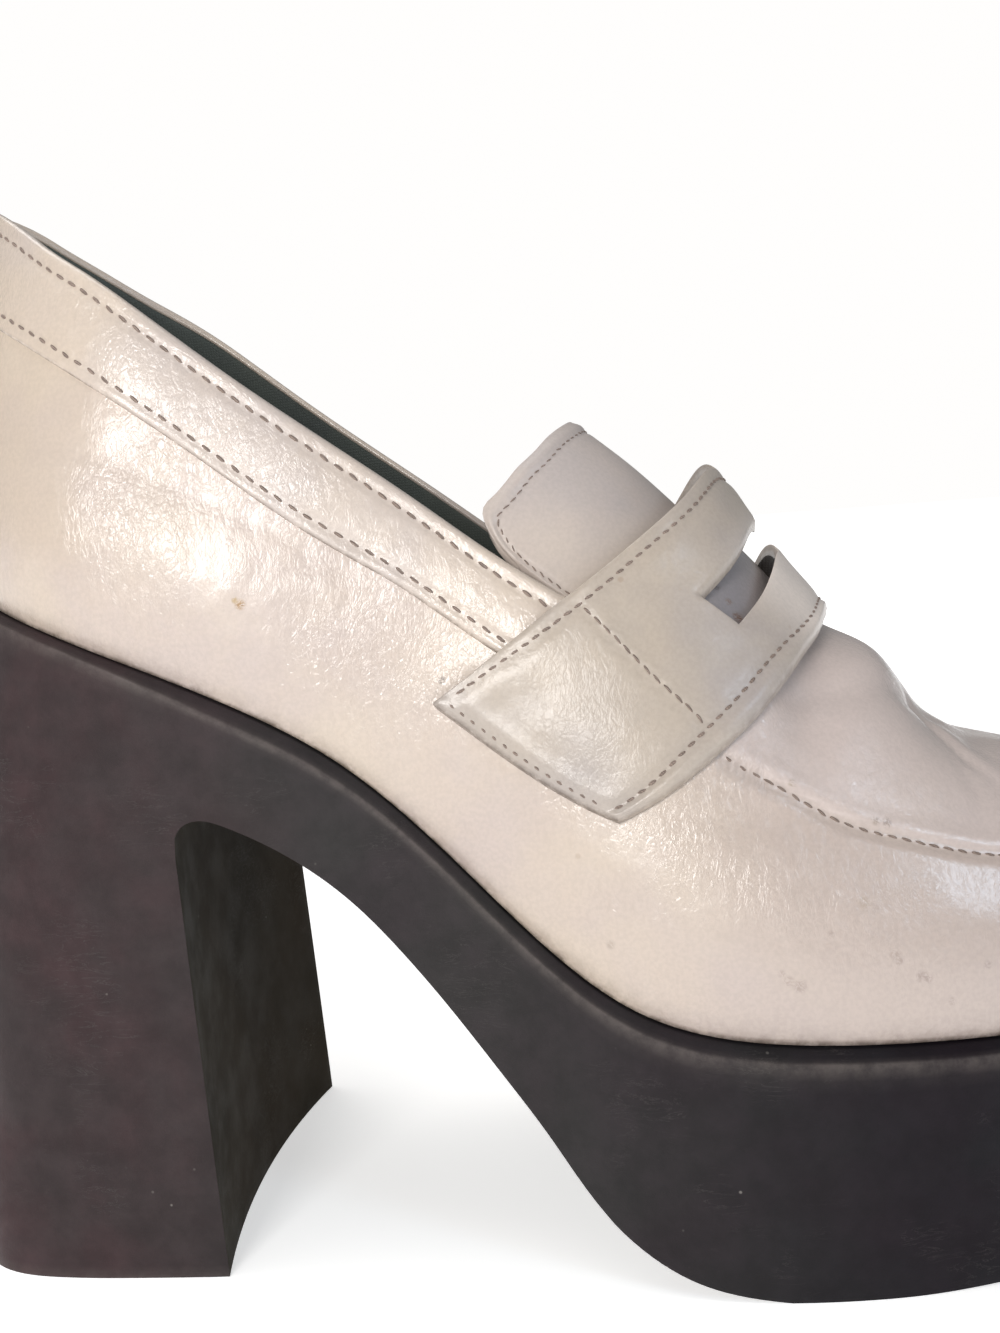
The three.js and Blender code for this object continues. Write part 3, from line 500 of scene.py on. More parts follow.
def relief(x, side, v, P):
    sd = np.where(side < 0, -1, 1)
    d = np.full(len(x), 99.0)
    for s in (-1, 1):
        m = sd == s
        d[m] = seam_distance(P[m], s, x[m])
    inside = (v > apron_v(x)) & (x > 112) | (x > 223)
    inside = inside & ~(x > 223)
    h = np.zeros(len(x))
    h -= .50 * bump(d, .9)                                       # the seam is pulled in
    h += .28 * bump(d - 2.0, 1.3) * np.where(inside, 1, .75)     # and swells beside it
    h += np.where(inside, .15, 0) * smooth(0, 3, d)
    pitch = np.sin(P[:, 0] * 2 * np.pi / 3.0 + v * 9)
    h += .07 * pitch * bump(d - 1.6, 1.6)                        # pucker between stitches
    h += folds(x, v) * np.where(side > 0, .6 + .4 * smooth(.80, 1, v), 1)     # the outer side is creased more
    h += .22 * noise3(P, 14, 3) * smooth(.05, .2, v) + .10 * noise3(P, 6, 5) * smooth(.08, .2, v)
    # heel counter is stiff and full; quarter sags a little between counter and waist
    h -= .22 * bump(x - 66, 17) * bump(v - .24, .14)
    h += .18 * bump(x - 30, 16) * bump(v - .22, .14)
    # lasting pulls just above the feather
    ripple = np.sin(x * 1.9 + 1.3 * np.sin(x * .23)) * (.10 + .06 * np.sin(x * .11))
    h += ripple * bump(v - .035, .035) * smooth(.0, .02, v)
    h -= .35 * bump(v, .018)
    return h


# ------------------------------------------------------------------ upper
def build_upper():
    # columns are close together where the vamp bends, round at heel and toe
    xs = runs(ease_out(HEEL_X, 34, 26), np.linspace(34, 112, 56), np.linspace(112, 114, 3),
              np.linspace(114, 141.2, 24), np.array([141.2, 142.1, 142.8, 143.4, 143.9, 144.25, 144.5]), np.linspace(144.5, 204, 56), ease_in(204, TOE_X, 36))
    rows = 84; n = len(xs) - 1; sh = Sheet(); pts = []
    J = np.arange(rows + 1) / rows
    outer, inner, attr, cool, front_side_shade, slot = {}, {}, {}, {}, {}, {}
    for side in (-1, 1):
        X = np.repeat(xs, rows + 1); top = open_v(xs, side)
        V = (top[:, None] * J[None]).ravel()
        P = foot(X, side, V); Nn = normal(X, side, V)
        H = relief(X, np.full(len(X), side), V, P)
        edge = np.where(X > 144.4, 1, (top[:, None] * (1 - J[None])).ravel())
        H = H * smooth(0, .03, edge)                             # flush at the topline
        fade = smooth(0, 1.2, TOE_X - X) * smooth(0, 1.5, X - HEEL_X)
        Q = P + Nn * (H * fade)[:, None]
        if True:                                                 # the ridge is shared by both halves
            r = (V > .9999); Q[r, 1] = P[r, 1]
        inn = foot(X, side, V, -1.0 + folds(X, V) * fade)
        L = np.repeat(arc_len(xs, side), rows + 1)
        fe = V * L
        dirt = (np.clip(1 - fe / (.8 + .75 * noise3(P, 1.7, 9)), 0, 1) + .24 * np.clip(1 - fe / 5, 0, 1)) * smooth(-.5, 1.5, TOE_X - X)
        outer[side], inner[side], attr[side] = Q.reshape(n + 1, rows + 1, 3), inn.reshape(n + 1, rows + 1, 3), np.clip(dirt, 0, 1).reshape(n + 1, rows + 1)
        ahead = np.where(X > 223, 0, smooth(-.015, .015, V - apron_v(X)) * smooth(112, 125, X)); cool[side] = (.85 * ahead).reshape(n + 1, rows + 1)
        # painted shade: the plug is darkened in the strap's slot, where the strap shades it
        slot[side] = (.9 * smooth(.60, .68, V) * bump(X - 141, 9)).reshape(n + 1, rows + 1)
        # painted shade: the side wall is darkened toward the front, off the plug, where less light falls than on the
        # quarter
        front_side_shade[side] = (.85 * smooth(112, 158, X) * (1 - ahead)).reshape(n + 1, rows + 1)

    def node(side, i, j):
        key = "tip" if i == n else ("b", j) if i == 0 else ("r", i) if (j == rows and xs[i] >= 144.49) else (side, i, j)
        return sh.node(key, (side, i, j))
    for side in (-1, 1):
        for i in range(n):
            for j in range(rows):
                sh.cell([node(side, i, j), node(side, i + 1, j), node(side, i + 1, j + 1), node(side, i, j + 1)], side > 0)
    A = [outer[s][i, j] for s, i, j in sh.rows]; B = [inner[s][i, j] for s, i, j in sh.rows]; D = [attr[s][i, j] for s, i, j in sh.rows]
    # the halves share one point each along the back and ridge, the lateral side's, so no crease shows
    C = [cool[s][i, j] for s, i, j in sh.rows]; W = [front_side_shade[s][i, j] for s, i, j in sh.rows]; S = [slot[s][i, j] for s, i, j in sh.rows]
    return make("upper_leather_shell", A + B, sh.faces(), [M_UPPER], attrs={"dirt": D + [0] * len(B), "plug_tone_and_painted_crest_light": C + C, "front": W + W, "raw_edge_and_shade_under_strap": S + S})


# ------------------------------------------------------------------ collar facing, swept over the topline
def build_facing():
    xs = runs(ease_out(HEEL_X, 30, 22), np.linspace(30, 118.5, 90)); n = len(xs) - 1
    # profile: outside lower edge, up the outside, over the top, down the inside; (share of the way up, mm above the top, off)
    prof = [(0, 0, -.25), (0, 0, .30), (0, .25, .58)]
    k = 16
    prof += [(t, 0, .62) for t in np.linspace(.035, .97, k)]
    prof += [(1, .0, .60), (1, .38, .40), (1, .64, -.05), (1, .72, -.6), (1, .66, -1.15), (1, .42, -1.6), (1, .05, -1.92)]
    prof += [(1, -.45, -2.0), (1, -.85, -1.9), (1, -.95, -1.4), (1, -.8, -.9)] + [(t, 0, -.25) for t in (.9, .6, .3)]
    m = len(prof); idx = {}; pts = []; dirt = []; faces = []
    for side in (-1, 1):
        tv = open_v(xs, side); fv = facing_v(xs); L = arc_len(xs, side)
        for q, (t, up, off) in enumerate(prof):
            v = fv + (tv - fv) * t + up / L + level_v(xs, side, off) * t
            P = foot(xs, side, v, off)
            if off > 0:
                Nn = normal(xs, side, v)
                d0 = (v - fv) * L; d1 = (tv - v) * L + 0
                P = P + Nn * (-.30 * bump(d1 - 2.95, .7) - .28 * bump(d0 - 2.5, .7) + .18 * bump((d1 - 9), 5) + .12 * noise3(P, 9, 4))[:, None] * (1 if .02 < t < .99 else 0)
            for i in range(n + 1):
                key = (0, 0, q) if i == 0 else (side, i, q)
                if key not in idx: idx[key] = len(pts); pts.append(P[i]); dirt.append((.9, .8, .25)[q] if q < 3 else .25 * (up > .5))
        for i in range(n):
            for q in range(m):
                a = [(side, i, q), (side, i + 1, q), (side, i + 1, (q + 1) % m), (side, i, (q + 1) % m)]
                a = [(0, 0, c[2]) if c[1] == 0 else c for c in a]
                faces.append([idx[c] for c in a])
        faces.append([idx[(side, n, q)] for q in range(m)])
    return make("collar_facing", pts, faces, [M_FACING], attrs={"dirt": dirt})


# ------------------------------------------------------------------ lining and insole
def build_lining():
    xs = runs(ease_out(HEEL_X, 34, 14), np.linspace(34, 114, 30), np.linspace(114, 141.2, 12), np.array([141.2, 142.8, 143.9, 144.5]), np.linspace(144.5, 204, 24), ease_in(204, TOE_X, 16))
    rows = 34; n = len(xs) - 1; sh = Sheet(); g = {}
    for side in (-1, 1):
        X = np.repeat(xs, rows + 1); top = open_v(xs, side) - np.where(xs < 144.4, .35, 0) / np.maximum(arc_len(xs, side), 1)
        top = top + np.where(xs < 144.4, level_v(xs, side, -1.75), 0)
        V = (.02 + (top[:, None] - .02) * (np.arange(rows + 1) / rows)[None]).ravel()
        w = .10 * noise3(foot(X, side, V), 12, 7); f = np.minimum(folds(X, V), 0) * smooth(0, 1.2, TOE_X - X)
        g[side] = (foot(X, side, V, -1.75 + w + f).reshape(n + 1, rows + 1, 3), foot(X, side, V, -1.2 + f).reshape(n + 1, rows + 1, 3))

    def node(side, i, j):
        key = "tip" if i == n else ("b", j) if i == 0 else ("r", i) if (j == rows and xs[i] >= 144.49) else (side, i, j)
        return sh.node(key, (side, i, j))
    for side in (-1, 1):
        for i in range(n):
            for j in range(rows):
                sh.cell([node(side, i, j), node(side, i + 1, j), node(side, i + 1, j + 1), node(side, i, j + 1)], side < 0)
    A = [g[s][0][i, j] for s, i, j in sh.rows]; B = [g[s][1][i, j] for s, i, j in sh.rows]
    return make("lining", A + B, sh.faces(), [M_LINING])


def build_insole():
    off = -(WALL + GAP) - .15; xs = runs(ease_out(HEEL_X, 38, 16), np.linspace(38, 190, 76), ease_in(190, TOE_X, 22)); n = len(xs) - 1; across = 22
    lat, med = foot(xs, -1, 0, off), foot(xs, 1, 0, off); sh = Sheet(); top, bot = {}, {}
    for i in range(n + 1):
        for k in range(across + 1):
            f = k / across; p = lat[i] * (1 - f) + med[i] * f; e = min(f, 1 - f) * abs(med[i][1] - lat[i][1])
            dish = -.7 * smooth(2, 16, e) * smooth(HEEL_X, 30, xs[i]) + .0
            q = p + [0, 0, 2.6 + dish + .12 * float(noise3(p[None], 11, 8)[0])]
            key = ("e", i) if i in (0, n) else (i, k)
            sh.node(key, (i, k)); top.setdefault(key, q); bot.setdefault(key, p + [0, 0, .1])
    def node(i, k): return sh.map[("e", i) if i in (0, n) else (i, k)]
    for i in range(n):
        for k in range(across): sh.cell([node(i, k), node(i + 1, k), node(i + 1, k + 1), node(i, k + 1)], False)
    keys = list(sh.map)
    ob = make("insole_pad", [top[k] for k in keys] + [bot[k] for k in keys], sh.faces(), [M_INSOLE])
    bevel(ob, .7, 2, 50)
    return ob


# ------------------------------------------------------------------ tongue
def tongue_out(v): return 1.1 - .9 * smooth(.62, .74, v)      # how far the folded edge stands out beyond the solid's


def tongue_grid(side, v, t, off):
    x0, x1 = tongue_rear(v) - tongue_out(v), tongue_front(v)
    return foot(x0 + (x1 - x0) * t, side, v, off), x0 + (x1 - x0) * t


TONGUE_FOLD = 2.3


def fold_edge(d, dn):
    """Distance from the tongue's edge with the corner rounded: d from the rear edge, dn from the side edge."""
    a, b = np.maximum(4.5 - d, 0), np.maximum(4.5 - (dn + .6), 0)
    return np.where((a > 0) & (b > 0), 4.5 - np.hypot(a, b), np.minimum(d, dn + .6))


def build_tongue():
    vs = np.concatenate([np.array([.585, .5865, .589, .592, .597, .603, .610, .618, .628, .640, .655]), np.linspace(.673, 1, 34)])
    cols = 52; n = len(vs) - 1; sh = Sheet(); g = {}
    t = np.linspace(0, 1, cols + 1) ** 1.30
    for side in (-1, 1):
        V = np.repeat(vs, cols + 1); T = np.tile(t, n + 1)
        P, X = tongue_grid(side, V, T, -(WALL + TONGUE_GAP))
        d = X - tongue_rear(V) + tongue_out(V)                          # from the free edge
        dn = (V - .585) * 118
        h = .10 * noise3(P, 12, 2) + .30 * bump(d - 10, 7) * smooth(.6, .8, V)
        e = fold_edge(d, dn)
        h = h - .30 * bump(e - TONGUE_FOLD, .50) - .16 * smooth(TONGUE_FOLD - .2, TONGUE_FOLD + .3, e) + .10 * bump(e - 1.2, .8) - .45 * (1 - smooth(0, 1.3, np.minimum(d, dn + .4)))
        Nn = normal(X, side, V, -2.0)
        Q = P + Nn * h[:, None]; r = V > .9999; Q[r, 1] = P[r, 1]
        B, _ = tongue_grid(side, V, T, -(WALL + TONGUE_GAP) - TONGUE_T)
        B = B + Nn * (.5 * (1 - smooth(0, 2.2, np.minimum(d, dn + .4))))[:, None]
        g[side] = (Q.reshape(n + 1, cols + 1, 3), B.reshape(n + 1, cols + 1, 3))

    def node(side, i, j): return sh.node(("r", j) if i == n else (side, i, j), (side, i, j))
    for side in (-1, 1):
        for i in range(n):
            for j in range(cols):
                sh.cell([node(side, i, j), node(side, i, j + 1), node(side, i + 1, j + 1), node(side, i + 1, j)], side > 0)
    A = [g[s][0][i, j] for s, i, j in sh.rows]; B = [g[s][1][i, j] for s, i, j in sh.rows]
    ob = make("tongue_leather", A + B, sh.faces(), [M_TONGUE], attrs={"dirt": [0] * (2 * len(A))})
    bevel(ob, .45, 3, 45)
    return ob


# ------------------------------------------------------------------ penny strap
def strap_point(side, a, b, off):
    """a 0 at the sewn end to 7 on the ridge, b 0 rear edge to 1 front edge."""
    a, b, off = np.broadcast_arrays(a, b, off)
    x = strap_at[0](a) * (1 - b) + strap_at[2](a) * b
    v = np.where(a >= 6.9999, 1.0, strap_at[1](a) * (1 - b) + strap_at[3](a) * b)
    s1 = strap_at[5](a); far = np.sin(np.pi * np.clip((7 - a) / 1.7, 0, 1))
    stand = far * (1.5 * (1 - smooth(.02, .30, b)) + 1.7 * smooth(s1 - .03, s1, b) * (1 - smooth(s1, s1 + .30, b))) * (side > 0)
    m = GAP + STRAP_LIFT * (1 - b) * strap_at[6](a) + stand + off
    return foot(x, side, v, m), x, v, m


def strap_width(a):
    return np.interp(a, [0, 1, 2, 3, 4, 5, 6, 7], [33, 33, 32.5, 32, 31, 30, 29.5, 28])


STRAP_END_IN = 2.5


def rear_in(a): return 1.2 + 1.0 * smooth(.3, 2.5, a)         # distance of the thread from the strap's edges


def front_in(a): return 2.6 + 1.0 * smooth(.2, 1.6, a) * (1 - smooth(3.2, 5.6, a)) - .5 * smooth(4.5, 6.5, a)


def strap_surface(side, a, b):
    """Outer face of the strap with its relief: points, directions, distance to the edge, x, v, off."""
    P, x, v, m = strap_point(side, a, b, STRAP_T)
    A, B = [q.ravel() for q in np.broadcast_arrays(np.asarray(a, float), np.asarray(b, float))]
    W = strap_width(A); rear, front, end = B * W, (1 - B) * W, A * 17.5
    d = np.minimum(np.minimum(rear, front), end); line = np.minimum(np.minimum(rear - rear_in(A), front - front_in(A)), end - STRAP_END_IN)
    s0, s1 = strap_at[4](A), strap_at[5](A)
    slot = np.where(A > SLOT_ROW - .02, np.minimum(np.abs(B - s0), np.abs(B - s1)) * W, 99)
    h = -.36 * bump(line, .65) + .12 * bump(line - 2.4, 2.0) + .34 * bump(front - .5 * front_in(A), .9) * (front < front_in(A)) - .30 * (1 - smooth(0, .9, d)) - .22 * (1 - smooth(0, 1.0, slot))
    h = h + .20 * noise3(P, 11, 6) + .10 * noise3(P, 4.5, 12)
    along = np.clip((.557 - v) / (.557 - .458), 0, 1); seam = (x - (115.9 + 21.7 * along)) * .75
    h = h - .28 * bump(seam, .8) * (A < 3.6) * smooth(1.5, 4, d) + .12 * bump(seam - 2.2, 1.4) * (A < 3.6)
    N_ = normal(x, side, v, m); Q = P + N_ * h[:, None]; r = A > 6.9999; Q[r, 1] = P[r, 1]
    return Q, N_, d, x, v, m


def build_strap():
    aa = np.concatenate([np.linspace(0, 4, 46), np.linspace(4, 7, 42)[1:]]); n = len(aa) - 1
    i_slot = 45
    ka, kb, kc = 14, 8, 13; lanes = ka + kb + kc
    sh = Sheet(); g = {}
    for side in (-1, 1):
        A = np.repeat(aa, lanes + 1); k = np.tile(np.arange(lanes + 1), n + 1)
        s0, s1 = strap_at[4](A), strap_at[5](A)
        Bv = np.where(k <= ka, s0 * k / ka, np.where(k <= ka + kb, s0 + (s1 - s0) * (k - ka) / kb, s1 + (1 - s1) * (k - ka - kb) / kc))
        Q, Nn, d_edge, X, V, M = strap_surface(side, A, Bv)
        U, _, _, _ = strap_point(side, A, Bv, 0.0)
        U = U + Nn * (.25 * (1 - smooth(0, 1.4, d_edge)))[:, None]
        g[side] = (Q.reshape(n + 1, lanes + 1, 3), U.reshape(n + 1, lanes + 1, 3), np.clip(.30 * (1 - smooth(0, 1.0, d_edge)) * (A < 4) + .55 * (1 - smooth(0, .8, A * 17.5)), 0, 1).reshape(n + 1, lanes + 1))

    def node(side, i, k): return sh.node(("r", k) if i == n else (side, i, k), (side, i, k))
    for side in (-1, 1):
        for i in range(n):
            for k in range(lanes):
                if i >= i_slot and ka <= k < ka + kb: continue
                sh.cell([node(side, i, k), node(side, i, k + 1), node(side, i + 1, k + 1), node(side, i + 1, k)], side > 0)
    A = [g[s][0][i, j] for s, i, j in sh.rows]; B = [g[s][1][i, j] for s, i, j in sh.rows]; D = [g[s][2][i, j] for s, i, j in sh.rows]
    # painted light: the strap's crest toward the ridge, which faces up, is lightened
    F = sh.faces(); k = len(sh.cells); painted_crest_light = [float(.9 * smooth(4.2, 6.2, aa[i]) * smooth(.25, .6, j / lanes)) for s, i, j in sh.rows]
    # the underside points darken the lower edge of the strap's walls, most at the sewn end: a dark raw edge, with
    # painted contact shade beneath the strap
    raw_edge_and_shade_under_strap = [.85 if sh.rows[i][1] < 2 else .35 for i in range(len(A))]
    ob = make("penny_strap", A + B, F, [M_STRAP, M_SUEDE], face_mats=[0] * k + [1] * k + [0] * (len(F) - 2 * k), attrs={"dirt": D + raw_edge_and_shade_under_strap, "plug_tone_and_painted_crest_light": painted_crest_light + [0] * len(painted_crest_light), "front": [0] * (2 * len(painted_crest_light))})
    bevel(ob, .28, 3, 45)
    return ob


# ------------------------------------------------------------------ sole
def station(x, off): return HEEL_X - off + (x - HEEL_X) * (TOE_X - HEEL_X + 2 * off) / (TOE_X - HEEL_X)


HEEL_SQUARE = 2.1                                 # how much squarer the heel block is at the floor than at the feather


def station_of(X, off): return HEEL_X + (X - HEEL_X + off) * (TOE_X - HEEL_X) / (TOE_X - HEEL_X + 2 * off)


def sole_wall(x, side, off, square=0.0):
    s = station(x, off); w = (lat_w(s) if side < 0 else med_w(s)) + off
    w = w * np.where(s > TOE_CAP_X, cap((s - TOE_CAP_X) / (TOE_X + off - TOE_CAP_X), TOE_CAP_N), 1) * heel_cap(s, off, 0 * s, square)
    return s, centre_y(s) + side * w


def under_z(x): return np.where(x <= 143, arch_z(x), np.where(x <= TREAD_FLAT_END, 0, TOE_SPRING * np.maximum(0, x - TREAD_FLAT_END) ** 2))


LIP = 2.5


def build_sole():
    breast = lambda z: HEEL_BREAST_X - BREAST_LEAN * z
    wall_off = lambda x, z: LIP + flare_mm(x) * (1 - z / (feather_z(x) - LIP))
    breast_at = lambda z: station_of(breast(z), wall_off(breast(z), z))
    bt = float(breast_at(ARCH_SPRING_Z))
    hx = runs(ease_out(HEEL_X, 34, 26), np.linspace(34, bt, 11))
    AX = runs(np.array([47.3, 47.9, 48.6, 49.4, 50.4, 51.6, 53, 54.8, 57, 59.5]), np.linspace(59.5, 112, 38)); arched = station_of(AX, wall_off(AX, arch_z(AX)))
    fx = np.concatenate([[bt], arched, np.linspace(arched[-1], 143, 23)[1:], np.linspace(143, 158, 8)[1:], np.linspace(158, 200, 26)[1:], ease_in(200, TOE_X, 34)[1:]])
    xs = runs(hx, fx); ib = len(hx) - 1; n = len(xs) - 1
    hr, wr, across = 34, 18, 26
    at_under = np.where(xs < 116, station(xs, wall_off(xs, arch_z(xs))), xs)
    drop = shoulder_mm(xs)
    feather = feather_z
    # shoulder profile above the wall: off outward, height below the feather as a share of the drop (1 at the edge)
    sh_prof = [(LIP, 1.0), (LIP - .12, .80), (LIP - .5, .66), (LIP - 1.1, .50), (1.0, .36), (.55, .26), (.25, .20), (.05, .16), (-.8, .14)]
    total = hr + wr; last_row = total + len(sh_prof) - 1
    pos = {}
    wave = lambda P: .12 * noise3(P, 22, 21)
    for side in (-1, 1):
        for r in range(0, last_row + 1):
            x = xs.copy()
            if r <= total:
                lipz = feather(station(x, LIP)) - drop
                if r <= hr:
                    z = np.full(n + 1, ARCH_SPRING_Z * r / hr); xn = HEEL_X + (x - HEEL_X) * (breast_at(z) - HEEL_X) / (bt - HEEL_X)
                    z0 = np.where(np.arange(n + 1) <= ib, ARCH_SPRING_Z, under_z(at_under))
                    if r == hr: z = z0; xn = np.where(np.arange(n + 1) <= ib, xn, x)
                else:
                    z0 = np.where(np.arange(n + 1) <= ib, ARCH_SPRING_Z, under_z(at_under)); f = (r - hr) / wr
                    z = z0 + (lipz - z0) * f; xn = x
                off = LIP + flare_mm(xn) * (1 - z / (feather(xn) - drop)); square = HEEL_SQUARE * (1 - z / (feather(xn) - drop))
            else:
                off, share = sh_prof[r - total]; off = np.full(n + 1, off); xn = x
                z = feather(station(x, off)) - drop * share; square = 0.0
            X, Y = sole_wall(xn, side, off, square)
            P = np.stack([X, Y, z], 1)
            if 0 < r < total:
                P[:, 1] += side * wave(P) * smooth(0, 8, np.minimum(z, 30)) * smooth(0, 1, np.arange(n + 1)) * (np.abs(Y - centre_y(X)) > 3)
            pos[(side, r)] = P
    pts, idx, faces, edge_wear_and_highlight = [], {}, [], []

    def node(key, p, w=0.):
        if key not in idx: idx[key] = len(pts); pts.append(p); edge_wear_and_highlight.append(w)
        return idx[key]

    def edge(side, i, r):
        # lighter along the outer corner of the shoulder (wear and a painted highlight) and at the floor edge (wear)
        w = .55 * float(bump(r - total - .6, 1.1)) * (1 if r >= total - 1 else 0) if r >= total - 1 else (.25 if r == 0 else 0)
        return node(("e", i, r) if i in (0, n) else (side, i, r), pos[(side, r)][i] if i not in (0, n) else pos[(-1, r)][i], w)

    def sag(i, r):
        if r == last_row: return 0
        x = xs[i]; t = (x - HEEL_X) / (bt - HEEL_X) if i <= ib else max(0, 1 - (x - bt) / 16)
        return BREAST_SAG * (t * t if (i <= ib and r == 0) else t)

    def cross(i, r, k):
        if i in (0, n) or k == 0: return edge(-1, i, r)
        if k == across: return edge(1, i, r)
        f = k / across; f = .5 - .5 * math.cos(math.pi * (.12 + .76 * f)) ; f0 = .5 - .5 * math.cos(math.pi * .12); f = (f - f0) / (1 - 2 * f0)
        p = pos[(-1, r)][i] * (1 - f) + pos[(1, r)][i] * f; u = 2 * f - 1
        q = p - [sag(i, r) * (1 - u * u), 0, 0]
        return node(("x", i, r, k), q)
    for side in (-1, 1):
        for i in range(n):
            for r in range(0 if i < ib else hr, last_row):
                q = [edge(side, i, r), edge(side, i + 1, r), edge(side, i + 1, r + 1), edge(side, i, r + 1)]
                q = [a for j, a in enumerate(q) if a != q[j - 1]]
                if len(q) > 2: faces.append(q)
    for k in range(across):
        for i in range(n):
            for r in (last_row, 0 if i < ib else hr):
                q = [cross(i, r, k), cross(i + 1, r, k), cross(i + 1, r, k + 1), cross(i, r, k + 1)]
                q = [a for j, a in enumerate(q) if a != q[j - 1]]
                if len(q) > 2: faces.append(q)
        for r in range(hr):
            faces.append([cross(ib, r, k), cross(ib, r, k + 1), cross(ib, r + 1, k + 1), cross(ib, r + 1, k)])
    # painted shade for the arch hollow: the cross faces of breast and underside, and the lower arch walls
    hollow = [1.0 if k[0] == "x" and k[2] not in (0, last_row) else .5 if k[2] <= hr and k[1] >= ib and xs[k[1]] < 90 else 0.0 for k in idx]
    ob = make("sole_moulding", pts, faces, [M_SOLE], attrs={"edge_wear_and_highlight": edge_wear_and_highlight, "hollow": hollow})
    bevel(ob, .9, 3, 38)
    # the painted shade of the hollow belongs to the faces that look forward or down
    me = ob.data; k = len(me.vertices); a = np.empty(k, np.float32); me.attributes["hollow"].data.foreach_get("value", a)
    nn = np.empty(k * 3, np.float32); me.vertices.foreach_get("normal", nn); nn = nn.reshape(k, 3)
    face = smooth(.45, .8, np.maximum(nn[:, 0], -nn[:, 2])); me.attributes["hollow"].data.foreach_set("value", (np.where(a > .2, np.maximum(face, (a > .95) * 1.0), 0) * (a > .2)).astype(np.float32))
    return ob


# ------------------------------------------------------------------ thread
def stitch_row(P, Nn, pitch=2.85, length=1.75, radius=.27, start=.6, skip_end=.6, bury=.10, seed=0):
    """Short capsules of thread laid along the line P (mm), sunk at both ends."""
    P = np.asarray(P); run = np.concatenate([[0], np.cumsum(np.linalg.norm(np.diff(P, axis=0), axis=1))])
    at = lambda s: np.stack([np.interp(s, run, P[:, k]) for k in range(3)], -1)
    an = lambda s: np.stack([np.interp(s, run, Nn[:, k]) for k in range(3)], -1)
    verts, faces = [], []; rng = np.random.default_rng(100 + seed); s = start; rings, segs = 7, 7
    while s + length < run[-1] - skip_end:
        t = np.linspace(0, 1, rings); ss = s + length * t; c = at(ss); n = an(ss); n /= np.linalg.norm(n, axis=1)[:, None]
        tan = np.gradient(c, axis=0); tan /= np.linalg.norm(tan, axis=1)[:, None]; b = np.cross(tan, n)
        slant = (t - .5) * rng.normal(.22, .10)
        lift = radius * (np.sin(np.pi * t) ** .55 * 1.15 - .62) - bury
        rad = radius * np.clip(np.sin(np.pi * (.06 + .88 * t)) ** .45, .2, 1) * rng.uniform(.92, 1.08)
        base = len(verts)
        for k in range(rings):
            o = c[k] + n[k] * lift[k] + b[k] * slant[k]
            for q in range(segs):
                a = 2 * math.pi * q / segs; verts.append(o + b[k] * math.cos(a) * rad[k] + n[k] * math.sin(a) * rad[k] * .85)
        for k in range(rings - 1):
            for q in range(segs): faces.append([base + k * segs + q, base + k * segs + (q + 1) % segs, base + (k + 1) * segs + (q + 1) % segs, base + (k + 1) * segs + q])
        faces.append([base + q for q in range(segs)][::-1]); faces.append([base + (rings - 1) * segs + q for q in range(segs)])
        s += pitch * rng.uniform(.96, 1.04)
    return verts, faces


def join_rows(name, rows):
    V, F = [], []
    for v, f in rows: b = len(V); V += v; F += [[a + b for a in q] for q in f]
    return make(name, V, F, [M_THREAD])


